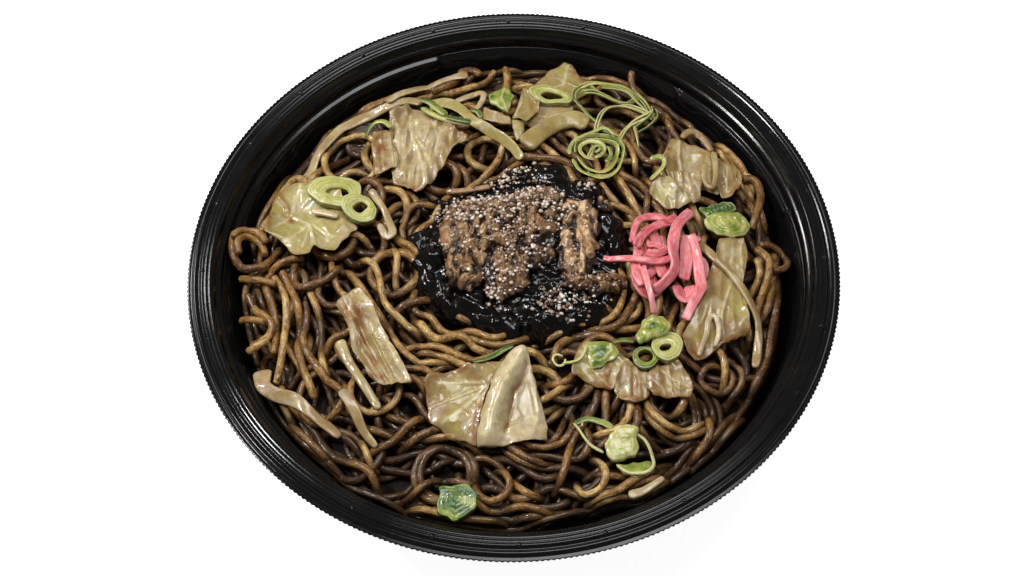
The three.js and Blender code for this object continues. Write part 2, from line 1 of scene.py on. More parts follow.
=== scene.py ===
"""Yakisoba in a round black takeaway bowl: fried noodles, cabbage, spring onion, black sauce with peppered
meat, and pickled ginger. Lengths are in millimetres until a mesh is made, which is in metres."""

import math

import bpy
import numpy as np
from mathutils import Matrix, Vector


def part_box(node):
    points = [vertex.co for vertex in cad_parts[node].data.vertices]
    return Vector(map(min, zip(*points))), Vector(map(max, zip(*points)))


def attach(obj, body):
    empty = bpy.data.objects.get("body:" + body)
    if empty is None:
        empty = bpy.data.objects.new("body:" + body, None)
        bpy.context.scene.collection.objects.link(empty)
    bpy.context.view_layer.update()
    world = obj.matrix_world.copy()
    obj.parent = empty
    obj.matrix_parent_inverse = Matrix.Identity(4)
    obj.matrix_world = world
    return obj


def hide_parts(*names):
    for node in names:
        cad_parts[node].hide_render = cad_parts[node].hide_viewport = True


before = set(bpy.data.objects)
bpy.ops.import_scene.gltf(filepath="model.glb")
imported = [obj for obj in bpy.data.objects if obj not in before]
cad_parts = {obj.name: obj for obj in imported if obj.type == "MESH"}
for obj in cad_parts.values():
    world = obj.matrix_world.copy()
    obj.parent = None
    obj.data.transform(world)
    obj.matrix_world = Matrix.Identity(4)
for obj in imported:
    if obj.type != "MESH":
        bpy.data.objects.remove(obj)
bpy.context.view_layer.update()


# ---- The bowl: a thin shell of black polypropylene, formed in one piece from a sheet. Its rim is stepped
# and grooved to take a lid, and the outer edge is finely toothed where the sheet was cut.

MILLIMETRE = 0.001
rim_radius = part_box("bowl")[1].x / MILLIMETRE
bowl_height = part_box("bowl")[1].z / MILLIMETRE
bowl_sides = 768
tooth_depth, tooth_band, teeth_bottom = 0.4, 0.9, bowl_height - 4
rim_top = [
    (0, 1.75), (0.3, 1.5), (1.6, 1.45), (2.1, 0.7), (2.6, 0.4), (3.2, 0.6), (3.6, 0.95), (4.1, 0.7),
    (4.6, 0.0), (5.2, 0.0), (5.45, 0.3), (5.7, 0.0), (6.4, 0.0), (6.65, 0.3), (6.9, 0.0), (7.7, 0.0),
    (8.1, 0.5), (9.0, 2.2), (9.3, 2.4), (10.1, 2.8), (10.35, 3.3), (10.6, 5.7), (10.9, 6.1), (12.3, 6.5),
]
rim_underside = [(11.5, 7.5), (9.75, 6.9), (9.4, 4), (8.25, 2.7), (7.1, 1), (4.6, 1.3), (0.1, 2.6)]
wall_thickness, wall_rows = 0.9, 7
wall_foot_height, wall_foot_radius = 4.3, 65.2
wall_top_height, wall_top_radius = bowl_height - 6.6, rim_radius - 12.6
foot_inner, foot_outer, foot_rise = 57.0, 62.0, 1.6
pockets = [(-19, 14), (52, 105), (169, 199), (232, 285)]
pocket_depth, pocket_low, pocket_high = 1.5, bowl_height - 9.5, bowl_height - 5.8
pocket_slope, pocket_lip, pocket_end_degrees = 3, 0.3, 1.2
nub_count, nub_corners, nub_radius, nub_sunk = 24, 10, 0.75, 0.1
nub_ring = rim_radius - 4.9
nub_profile = [(1.0, -0.2), (0.85, 0.25), (0.45, 0.45), (0.02, 0.5)]


def wall_radius(height):
    """The wall's inner radius at a height: it leans out, less and less towards the rim."""
    up = (height - wall_foot_height) / (wall_top_height - wall_foot_height)
    lean = 0.45 * up + 0.55 * (1 - (1 - up) ** 2)
    return wall_foot_radius + (wall_top_radius - wall_foot_radius) * lean


def circle(count):
    """Evenly spaced angles all round."""
    return np.arange(count) * 2 * np.pi / count


def length_along(points):
    """How far along a line each of its points is."""
    return np.concatenate([[0], np.cumsum(np.linalg.norm(np.diff(points, axis=0), axis=1))])


def rounded(points, step, reach):
    """A polyline resampled evenly, with its corners rounded over about that reach."""
    points = np.array(points, float)
    along = length_along(points)
    even = np.linspace(0, along[-1], max(2, int(along[-1] / step)))
    line = np.stack([np.interp(even, along, points[:, i]) for i in range(points.shape[1])], 1)
    half = max(1, int(reach / step / 2))
    weights = np.hanning(2 * half + 3)[1:-1]
    padded = np.concatenate([np.repeat(line[:1], half, 0), line, np.repeat(line[-1:], half, 0)])
    smooth = [np.convolve(column, weights / weights.sum(), "valid") for column in padded.T]
    return np.stack(smooth, 1)


def add_piece(name, body, material, nodes=()):
    """A piece from its body: points in millimetres, arrays of faces, and marks that its material reads."""
    points, faces, marks = body
    mesh = bpy.data.meshes.new(name)
    mesh.vertices.add(len(points))
    mesh.vertices.foreach_set("co", (np.asarray(points) * MILLIMETRE).astype(np.float32).ravel())
    corners = np.concatenate([np.asarray(group).ravel() for group in faces])
    sides = np.concatenate([np.full(len(group), np.shape(group)[1]) for group in faces])
    mesh.loops.add(len(corners))
    mesh.loops.foreach_set("vertex_index", corners.astype(np.int32))
    mesh.polygons.add(len(sides))
    mesh.polygons.foreach_set("loop_start", np.concatenate([[0], np.cumsum(sides)[:-1]]).astype(np.int32))
    mesh.update(calc_edges=True)
    mesh.validate()
    mesh.shade_smooth()
    for mark_name, values in marks.items():
        vector = values.shape[-1] == 3
        attribute = mesh.attributes.new(mark_name, "FLOAT_VECTOR" if vector else "FLOAT", "POINT")
        attribute.data.foreach_set("vector" if vector else "value", np.asarray(values, np.float32).ravel())
    mesh.materials.append(material)
    piece = bpy.data.objects.new(name, mesh)
    bpy.context.scene.collection.objects.link(piece)
    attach(piece, "root")
    if nodes:
        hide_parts(*nodes)


def grid_faces(rows, columns, closed_rows=False):
    """Four-sided faces of a net whose points are numbered row by row. Each row is a closed ring."""
    row = np.arange(rows if closed_rows else rows - 1)[:, None]
    column = np.arange(columns)[None, :]
    next_row, next_column = (row + 1) % rows, (column + 1) % columns
    quads = [row * columns + column, next_row * columns + column,
             next_row * columns + next_column, row * columns + next_column]
    return np.stack([np.broadcast_to(q, (row.shape[0], column.shape[1])) for q in quads], -1).reshape(-1, 4)


def shader_for(name, colour, roughness, **settings):
    """A new material, its node tree and its shader, with the values that are the same all over it."""
    material = bpy.data.materials.new(name)
    material.use_nodes = True
    shader = material.node_tree.nodes["Principled BSDF"]
    shader.inputs["Base Color"].default_value = (*colour, 1)
    shader.inputs["Roughness"].default_value = roughness
    for socket, value in settings.items():
        shader.inputs[socket.replace("_", " ")].default_value = value
    return material, material.node_tree, shader


def noise(tree, size, detail=3.0, grain=None):
    """Soft noise with features about that many millimetres across, or drawn along a grain."""
    place = tree.nodes.new("ShaderNodeTexCoord")
    texture = tree.nodes.new("ShaderNodeTexNoise")
    texture.inputs["Scale"].default_value = 1 / size if grain else 1 / (size * MILLIMETRE)
    texture.inputs["Detail"].default_value = detail
    tree.links.new(grain or place.outputs["Object"], texture.inputs["Vector"])
    return texture.outputs["Fac"]


def mark(tree, name, output="Fac"):
    """A value that the mesh carries from point to point."""
    attribute = tree.nodes.new("ShaderNodeAttribute")
    attribute.attribute_name = name
    return attribute.outputs[output]


def ramp(tree, value, stops):
    """Colours, or greys, that follow a value: stops are (place, colour)."""
    node = tree.nodes.new("ShaderNodeValToRGB")
    elements = node.color_ramp.elements
    while len(elements) < len(stops):
        elements.new(0.5)
    for element, (place, colour) in zip(elements, stops):
        element.position = place
        element.color = (*colour, 1) if isinstance(colour, tuple) else (colour, colour, colour, 1)
    tree.links.new(value, node.inputs["Fac"])
    return node.outputs["Color"]


def fed(tree, socket, value):
    """Links a socket to another, or sets it to a fixed value or colour."""
    if isinstance(value, bpy.types.NodeSocket):
        tree.links.new(value, socket)
    else:
        socket.default_value = (*value, 1) if isinstance(value, tuple) else value


def mixed(tree, share, first, second):
    """Blends two colours. Each is a socket or a fixed colour, and the share is a socket or a number."""
    node = tree.nodes.new("ShaderNodeMix")
    node.data_type = "RGBA"
    for number, value in ((0, share), (6, first), (7, second)):
        fed(tree, node.inputs[number], value)
    return node.outputs[2]


def summed(tree, first, second, kind="ADD"):
    """Two values added, or put together by another kind of arithmetic."""
    node = tree.nodes.new("ShaderNodeMath")
    node.operation = kind
    fed(tree, node.inputs[0], first)
    fed(tree, node.inputs[1], second)
    return node.outputs[0]


def scaled(tree, value, factor):
    """One value times another."""
    return summed(tree, value, factor, "MULTIPLY")


def glossed(tree, shader, value, stops):
    """Roughness that follows a value."""
    tree.links.new(ramp(tree, value, stops), shader.inputs["Roughness"])


def bumped(tree, shader, height, depth, strength=1.0):
    """Raises the surface by a value, by up to that many millimetres."""
    node = tree.nodes.new("ShaderNodeBump")
    node.inputs["Strength"].default_value = strength
    node.inputs["Distance"].default_value = depth * MILLIMETRE
    tree.links.new(height, node.inputs["Height"])
    tree.links.new(node.outputs["Normal"], shader.inputs["Normal"])


def black_plastic():
    material, tree, shader = shader_for("black plastic", (0.0045, 0.0045, 0.0047), 0.24, IOR=1.4)
    glossed(tree, shader, noise(tree, 9, 4), [(0.3, 0.1), (0.7, 0.19)])
    bumped(tree, shader, noise(tree, 0.5, 2), 0.03, 0.5)
    return material


def bowl_section():
    """The bowl's section as (radius, height): up the outside, over the rim and down the inside."""
    heights = np.linspace(wall_foot_height, wall_top_height - 1, wall_rows)
    wall = np.stack([wall_radius(heights), heights], 1)
    under = [(rim_radius - inset, bowl_height - drop) for inset, drop in rim_underside]
    over = [(rim_radius - inset, bowl_height - drop) for inset, drop in rim_top]
    outer_foot = [(0.01, foot_rise), (foot_inner - 2, foot_rise), (foot_inner, 0), (foot_outer, 0)]
    inner_foot = [(foot_outer - 0.4, wall_thickness), (foot_inner + 0.4, wall_thickness),
                  (foot_inner - 1.6, foot_rise + wall_thickness), (0.01, foot_rise + wall_thickness)]
    return np.concatenate([
        rounded(outer_foot, step=1.5, reach=1.5)[:33:8],
        rounded(outer_foot[1:], step=1.4, reach=1.4),
        wall + [wall_thickness + 0.1, 0],
        rounded(under, step=1.8, reach=1.9),
        rounded(over, step=0.25, reach=0.4),
        wall[::-1],
        rounded(inner_foot[:3], step=1.4, reach=1.4),
        inner_foot[3:],
    ])


def shell_body():
    """The section turned round the middle, with teeth on its edge and pockets pressed in its wall."""
    section = bowl_section()
    angle = circle(bowl_sides)
    radius = np.repeat(section[:, :1], bowl_sides, 1)
    height = np.repeat(section[:, 1:], bowl_sides, 1)
    tooth = np.where(np.arange(bowl_sides) % 2 == 0, 0.0, -tooth_depth)
    edge = np.clip(1 - (rim_radius - radius) / tooth_band, 0, 1) * (height > teeth_bottom)
    radius = radius + edge * tooth
    degrees = np.degrees(angle)
    pressed = np.zeros(bowl_sides)
    for start, end in pockets:
        middle, half = (start + end) / 2, (end - start) / 2
        away = np.abs((degrees - middle + 180) % 360 - 180)
        pressed = np.maximum(pressed, np.clip((half - away) / pocket_end_degrees + 0.5, 0, 1))
    inside = np.arange(len(section)) > int(np.argmax(section[:, 0]))
    levels = [pocket_low - pocket_slope, pocket_low, pocket_high, pocket_high + pocket_lip]
    ledge = np.interp(section[:, 1], levels, [0, 1, 1, 0])
    radius = radius + pocket_depth * (ledge * inside)[:, None] * pressed
    points = np.stack([radius * np.cos(angle), radius * np.sin(angle), height], -1).reshape(-1, 3)
    return points, [grid_faces(len(section), bowl_sides)[:, ::-1]], {}


def nub_body(number):
    """One of the small round nubs on the rim that keep a lid level."""
    turn = 2 * math.pi * number / nub_count
    around = circle(nub_corners)
    rings = [np.stack([nub_ring * math.cos(turn) + nub_radius * share * np.cos(around),
                       nub_ring * math.sin(turn) + nub_radius * share * np.sin(around),
                       np.full(nub_corners, bowl_height + lift - nub_sunk)], 1)
             for share, lift in nub_profile]
    return np.concatenate(rings), [grid_faces(len(rings), nub_corners)[:, ::-1]], {}


def joined(bodies):
    """Several bodies as one."""
    count, points, faces, marks = 0, [], [], {}
    for body_points, body_faces, body_marks in bodies:
        points.append(body_points)
        faces += [group + count for group in body_faces]
        for name, values in body_marks.items():
            marks.setdefault(name, []).append(values)
        count += len(body_points)
    return np.concatenate(points), faces, {name: np.concatenate(values) for name, values in marks.items()}


add_piece("bowl_shell", joined([shell_body(), *[nub_body(i) for i in range(nub_count)]]),
          black_plastic(), ["bowl"])


# ---- What the noodles fill: a heap that is highest in the middle and falls away towards the wall. Its
# hidden inside is one near-black body that shows only through the gaps between noodles. Its darkness is
# painted shade for the depths of the heap, and partly also the darkness of noodles soaked in sauce.

heap_radius, heap_fall = 86.0, 9.0
heap_crown = bowl_height + 0.5
core_drop = 9.0
core_sides, core_rings, core_wall_rings = 96, 22, 8
core_radius, core_shoulder, core_foot = heap_radius - 5, 38, 5
wall_gap, floor_gap = 0.7, 0.4


def heap_top(x, y):
    """The heap's smooth height at a place, with a slow swell."""
    swell = 0.6 * np.sin(x / 13 + 0.6) * np.cos(y / 15 - 0.4)
    return heap_crown - heap_fall * (np.hypot(x, y) / heap_radius) ** 3 + swell


def soaked_core():
    # Near black: painted shade in the gaps between noodles, partly also the darkness of sauce.
    material, tree, shader = shader_for("painted shade core", (0.012, 0.007, 0.004), 0.6, Specular_IOR_Level=0.1)
    lumps = noise(tree, 4, 4)
    tree.links.new(ramp(tree, lumps, [(0.35, (0.003, 0.002, 0.0015)), (0.7, (0.012, 0.006, 0.003))]),
                   shader.inputs["Base Color"])
    bumped(tree, shader, lumps, 1.2)
    return material


def core_body():
    """Rings from the middle out under the noodles, down beside the wall, and in over the floor."""
    angle = circle(core_sides)
    rows = []
    for radius in np.linspace(0.05, core_radius, core_rings):
        x, y = radius * np.cos(angle), radius * np.sin(angle)
        rows.append(np.stack([x, y, heap_top(x, y) - core_drop], 1))
    for height in np.linspace(core_shoulder, core_foot, core_wall_rings):
        radius = wall_radius(height) - wall_gap
        rows.append(np.stack([radius * np.cos(angle), radius * np.sin(angle), np.full(core_sides, height)],
                             1))
    bottom = foot_rise + wall_thickness + floor_gap
    rows.append(np.stack([0.05 * np.cos(angle), 0.05 * np.sin(angle), np.full(core_sides, bottom)], 1))
    return np.concatenate(rows), [grid_faces(len(rows), core_sides)], {}


add_piece("heap_shade_core", core_body(), soaked_core())


# ---- The noodles: strands of fried wheat dough, 2.5 mm thick, tangled as they fell. Each one is laid on
# those below it, presses into them a little, can't bend tightly, and stops where the heap is full.

noodle_radius, noodle_sides = 1.16, 8
noodle_press = 0.82
strand_step = 1.3
cell, cells_out, cells_margin = 0.5, 190, 8
bend_radius, turn_radius = 7.0, 5
edge_radius, edge_uneven, edge_slowing = 83.2, 1.7, 8
curly_share = 0.3
top_slack = 0.8
dive, dive_length = 4.0, 7.0
sauce_weight, hole_depth = 1.8, 4.0
comb_reach, comb_strength = 12, 1.8
rng = np.random.default_rng(11)
combed = [
    (-66, -12, 90), (-62, -40, -62), (-44, -58, -42), (-14, -74, -12), (24, -72, 18), (52, -56, 48),
    (70, -28, 74), (34, 40, 93), (-26, -30, -36), (4, -44, 160), (20, -52, 20), (-48, 2, 150), (-20, 66, 8),
    (-62, 46, 48), (60, -12, 100), (10, 74, -6),
]

grid_line = np.arange(-cells_out, cells_out + 1) * cell
grid_x, grid_y = np.meshgrid(grid_line, grid_line, indexing="ij")
grid_r = np.hypot(grid_x, grid_y)
wall_heights = np.linspace(wall_foot_height, wall_top_height, 60)
wall_floor = np.interp(grid_r, wall_radius(wall_heights), wall_heights)
wall_floor = np.where(grid_r > wall_top_radius, wall_top_height + floor_gap, wall_floor)
pile = np.maximum(heap_top(grid_x, grid_y) - core_drop, np.where(grid_r > 60, wall_floor, 0))


def ripples(x, y, size, seed, count=9):
    """A smooth uneven surface, about -1 to 1: waves of about that size in many directions."""
    draw = np.random.default_rng(seed)
    total = 0
    for _ in range(count):
        direction, phase = draw.uniform(0, 2 * np.pi, 2)
        pitch = 2 * np.pi / (size * draw.uniform(0.7, 1.5))
        total = total + np.cos(pitch * (x * math.cos(direction) + y * math.sin(direction)) + phase)
    return total / math.sqrt(count)


def footprint(radius):
    """The cells under a round strand, and how high its middle is over what touches each."""
    reach = int(math.ceil(radius / cell))
    down, across = np.mgrid[-reach:reach + 1, -reach:reach + 1]
    away = np.hypot(down, across) * cell
    under = away < radius
    return down[under], across[under], np.sqrt(radius ** 2 - away[under] ** 2)


def cells_at(x, y, down=0, across=0):
    """The pile's cells at each place, or at steps from it."""
    i = np.clip(np.rint(x / cell).astype(int) + cells_out, cells_margin, 2 * cells_out - cells_margin)
    j = np.clip(np.rint(y / cell).astype(int) + cells_out, cells_margin, 2 * cells_out - cells_margin)
    return i[:, None] + down, j[:, None] + across


def resting_height(x, y, radius):
    """How high the middle of a strand lies on what is below it."""
    down, across, rise = footprint(radius * noodle_press)
    return (pile[cells_at(x, y, down, across)] + rise).max(1)


def bridged(height, step, bend):
    """The line of a strand that bends no tighter than that: it spans the hollows between high spots."""
    along = np.arange(len(height)) * step
    return (height[None, :] - (along[:, None] - along[None, :]) ** 2 / (2 * bend)).max(1)


def lay_down(points, radius):
    """Adds a strand's top to what the next one rests on."""
    down, across, rise = footprint(radius)
    np.maximum.at(pile, cells_at(points[:, 0], points[:, 1], down, across), points[:, 2:] + rise)


def grain_of_heap(layer):
    """The way the noodles run, all over the heap: round it, but straight across in a few places."""
    around = 2 * (np.arctan2(grid_y, grid_x) + np.pi / 2)
    along_x, along_y = 0.5 * np.cos(around), 0.5 * np.sin(around)
    for place_x, place_y, degrees in combed:
        away = (grid_x - place_x) ** 2 + (grid_y - place_y) ** 2
        share = comb_strength * np.exp(-away / (2 * comb_reach ** 2))
        along_x += share * math.cos(2 * math.radians(degrees))
        along_y += share * math.sin(2 * math.radians(degrees))
    return (0.5 * np.arctan2(along_y, along_x) + 0.45 * ripples(grid_x, grid_y, 40, 100)
            + 0.2 * ripples(grid_x, grid_y, 30, 101 + layer))


def heap_edge(x, y):
    """How far out the noodles reach, which is uneven."""
    radius = np.hypot(x, y) + 1e-9
    return edge_radius + edge_uneven * np.clip(ripples(70 * x / radius, 70 * y / radius, 30, 55), -1.6, 1)


def wandering_routes(count, layer, longest):
    """Plan routes of strands that follow the grain, each with waves and turns of its own."""
    grain = grain_of_heap(layer)
    turn = rng.uniform(0, 2 * np.pi, count)
    out = np.sqrt(rng.uniform(4 ** 2, 84 ** 2, count))
    x, y = out * np.cos(turn), out * np.sin(turn)
    heading = rng.uniform(0, 2 * np.pi, count)
    lean = rng.normal(0, 0.16, count) + rng.normal(0, 0.7, count) * (rng.uniform(size=count) < 0.3)
    wave, phase = rng.uniform(15, 38, count), rng.uniform(0, 2 * np.pi, count)
    swing = rng.uniform(0.1, 0.7, count)
    curly = rng.uniform(size=count) < curly_share
    curl = rng.choice([-1.0, 1.0], count) / rng.uniform(4.5, 11, count)
    sharpest = strand_step / turn_radius
    route = [np.stack([x, y], 1)]
    for k in range(int(longest / strand_step)):
        wanted = grain[cells_at(x, y)][:, 0] + lean
        wanted = wanted + swing * np.sin(2 * np.pi * k * strand_step / wave + phase)
        if k == 0:
            heading = wanted + rng.choice([0.0, np.pi], count)
        off = (wanted - heading + np.pi / 2) % np.pi - np.pi / 2
        heading = heading + np.where(curly, curl * strand_step, np.clip(off, -sharpest, sharpest))
        dx, dy = np.cos(heading), np.sin(heading)
        radius = np.hypot(x, y) + 1e-9
        outward = (dx * x + dy * y) / radius
        room = np.clip((heap_edge(x, y) - radius) / edge_slowing, 0, 1)
        trim = np.where(outward > 0, outward * (1 - room), 0)
        dx, dy = dx - trim * x / radius, dy - trim * y / radius
        length = np.hypot(dx, dy) + 1e-9
        heading = np.arctan2(dy, dx)
        x, y = x + strand_step * dx / length, y + strand_step * dy / length
        shrink = np.minimum(1, (heap_edge(x, y) + 0.5) / np.hypot(x, y))
        x, y = x * shrink, y * shrink
        route.append(np.stack([x, y], 1))
    return np.stack(route, 1)


def heap_ceiling(x, y):
    """The noodles fill the heap up to here: lower under the sauce, and with holes near the wall."""
    sauce = np.clip(1.3 - ((x - 2) / 33) ** 2 - ((y - 5) / 30) ** 2, 0, 1)
    loose = np.clip((np.hypot(x, y) - 45) / 25, 0, 1)
    holes = loose * np.clip(ripples(x, y, 14, 71) + 0.1, 0, 1)
    return heap_top(x, y) + top_slack - sauce_weight * sauce - hole_depth * holes


def longest_run(fits):
    """Start and end of the longest unbroken stretch that fits."""
    edges = np.flatnonzero(np.diff(np.concatenate([[0], fits.astype(int), [0]])))
    starts, ends = edges[::2], edges[1::2]
    if not len(starts):
        return 0, 0
    longest = np.argmax(ends - starts)
    return starts[longest], ends[longest]


def lay_noodles(wanted, layer, choices, shortest, longest):
    """Lays strands one by one. Of a few routes, each takes the one that lies deepest for its length."""
    laid = []
    routes = wandering_routes(wanted * choices, layer, longest)
    for k in range(wanted):
        best, best_score = None, -1e9
        radius = noodle_radius * rng.uniform(0.9, 1.12)
        for route in routes[k * choices:(k + 1) * choices]:
            height = resting_height(route[:, 0], route[:, 1], radius)
            height = bridged(height, strand_step, bend_radius)
            spare = heap_ceiling(route[:, 0], route[:, 1]) - height - radius
            start, end = longest_run(spare > 0)
            length = (end - start) * strand_step
            if length < shortest:
                continue
            score = min(length, 90) / 30 + 0.6 * spare[start:end].mean()
            if score > best_score:
                best_score = score
                best = np.column_stack([route[start:end], height[start:end]])
        if best is not None:
            from_end = np.minimum(np.arange(len(best)), np.arange(len(best))[::-1]) * strand_step
            best[:, 2] -= dive * np.clip(1 - from_end / dive_length, 0, 1) ** 2
            lay_down(best, radius)
            laid.append((best, radius))
    return laid


def laid_by_hand(path, radius):
    """A strand along a chosen route, laid on the pile. A third number lifts it there."""
    path = np.array([(*point, 0)[:3] for point in path], float)
    line = rounded(path, strand_step, bend_radius)
    height = resting_height(line[:, 0], line[:, 1], radius) + line[:, 2]
    height = bridged(height, strand_step, bend_radius)
    points = np.column_stack([line[:, :2], height])
    lay_down(points, radius)
    return points, radius


def ribbon_rows(points, width, thickness, turn=0.0, sides=10, squareness=0.8):
    """Sections of a strand along its route: rounded rectangles, turned about the route."""
    tangent = np.gradient(points, axis=0)
    tangent /= np.linalg.norm(tangent, axis=1)[:, None] + 1e-9
    side = np.cross(tangent, [0, 0, 1.0])
    side /= np.linalg.norm(side, axis=1)[:, None] + 1e-9
    up = np.cross(side, tangent)
    turn = np.broadcast_to(turn, len(points))[:, None]
    across = np.cos(turn) * side + np.sin(turn) * up
    through = np.cos(turn) * up - np.sin(turn) * side
    around = circle(sides)
    wide = np.sign(np.cos(around)) * np.abs(np.cos(around)) ** squareness
    thick = np.sign(np.sin(around)) * np.abs(np.sin(around)) ** squareness
    width = np.broadcast_to(width, len(points))[:, None, None] / 2
    thickness = np.broadcast_to(thickness, len(points))[:, None, None] / 2
    return (points[:, None, :] + width * wide[None, :, None] * across[:, None, :]
            + thickness * thick[None, :, None] * through[:, None, :])


def blunt_ends(points, tip=0.5):
    """Adds points close to both ends, and gives how far the section has opened at each point."""
    first, last = points[1] - points[0], points[-2] - points[-1]
    start = points[0] + np.array([[0.0], [0.15], [0.5]]) * first
    end = points[-1] + np.array([[0.5], [0.15], [0.0]]) * last
    opened = np.ones(len(points) + 4)
    opened[[0, -1]] = tip
    opened[[1, -2]] = (1 + 2 * tip) / 3 + 0.15
    return np.concatenate([start, points[1:-1], end]), opened


def closed_body(rows, **marks):
    """A closed body from its rings of points, each end closed over its middle."""
    count, sides = rows.shape[:2]
    points = np.concatenate([rows.reshape(-1, 3), rows[:1].mean(1), rows[-1:].mean(1)])
    ring = np.arange(sides)
    following = (ring + 1) % sides
    last = (count - 1) * sides
    start = np.stack([np.full(sides, count * sides), ring, following], 1)
    end = np.stack([np.full(sides, count * sides + 1), last + following, last + ring], 1)
    carried = {}
    for name, values in marks.items():
        values = np.asarray(values, float)
        if values.ndim == 1:
            values = values[:, None]
        if values.ndim < 3:
            values = np.broadcast_to(values, (count, sides))[:, :, None]
        flat = values.reshape(count * sides, -1)
        carried[name] = np.concatenate([flat, values[:1].mean(1), values[-1:].mean(1)])
    return points, [grid_faces(count, sides), np.concatenate([start, end])], carried


def buried(route, radius):
    """Whether a whole strand lies too deep under others to be seen."""
    above = pile[cells_at(route[:, 0], route[:, 1])][:, 0] - route[:, 2]
    return np.quantile(above, 0.05) > 2 * radius


def noodle_body(route, radius, number):
    """One noodle, a little uneven and flattened, each with its own tone and grain, and darkened as painted
    shade where it lies deep.
    """
    draw = np.random.default_rng(number)
    points, opened = blunt_ends(route, tip=draw.uniform(0.3, 0.7))
    along = length_along(points)
    uneven = 1 + 0.06 * np.sin(along / draw.uniform(3, 7) + draw.uniform(0, 6))
    turn = draw.uniform(0, 6) + 0.5 * np.sin(along / draw.uniform(12, 30))
    rows = ribbon_rows(points, 2.1 * radius * opened * uneven, 1.9 * radius * opened, turn, noodle_sides,
                       squareness=0.85)
    around = circle(noodle_sides)
    grain = np.stack(np.broadcast_arrays((along * 0.22 + 17.3 * number)[:, None],
                                         (radius * np.cos(around))[None, :],
                                         (radius * np.sin(around))[None, :]), -1)
    # Painted shade: the deeper a noodle lies under the heap's top, the darker it is, partly also for the
    # sauce it soaks up.
    under = heap_top(rows[:, :, 0], rows[:, :, 1]) - rows[:, :, 2]
    return closed_body(rows, tone=draw.uniform(), sunk=np.clip(under / 8, 0, 1), grain=grain)


def fried_noodle():
    material, tree, shader = shader_for(
        "fried noodle", (0.3, 0.19, 0.08), 0.4, Subsurface_Weight=0.08, Subsurface_Scale=0.001,
        Coat_Weight=0.4, Coat_Roughness=0.1, Specular_IOR_Level=0.3)
    grain = mark(tree, "grain", "Vector")
    mottle = summed(tree, scaled(tree, noise(tree, 4.5, 4), 0.7), scaled(tree, mark(tree, "tone"), 0.34))
    body = ramp(tree, mottle, [(0.32, (0.095, 0.037, 0.008)), (0.47, (0.27, 0.125, 0.028)),
                               (0.6, (0.42, 0.225, 0.058)), (0.74, (0.76, 0.5, 0.18))])
    streak = ramp(tree, noise(tree, 0.45, 3, grain), [(0.36, 1.0), (0.52, 0.0)])
    body = mixed(tree, scaled(tree, streak, 0.7), body, (0.07, 0.027, 0.008))
    speck = ramp(tree, noise(tree, 0.7, 3), [(0.36, 0.5), (0.45, 0.0), (0.58, 0.0), (0.7, 0.5)])
    body = mixed(tree, speck, body, ramp(tree, noise(tree, 0.55, 2), [(0.45, (0.05, 0.02, 0.007)),
                                                                     (0.6, (0.72, 0.52, 0.28))]))
    # Painted shade, partly sauce: deep noodles are darkened towards near black.
    sunk = ramp(tree, mark(tree, "sunk"), [(0.08, 0.0), (0.4, 0.94)])
    tree.links.new(mixed(tree, sunk, body, (0.036, 0.015, 0.0035)), shader.inputs["Base Color"])
    glossed(tree, shader, noise(tree, 0.9, 3, grain), [(0.35, 0.25), (0.65, 0.6)])
    rough = summed(tree, noise(tree, 0.5, 3, grain), noise(tree, 0.8, 2))
    bumped(tree, shader, rough, 0.3, 1.0)
    return material


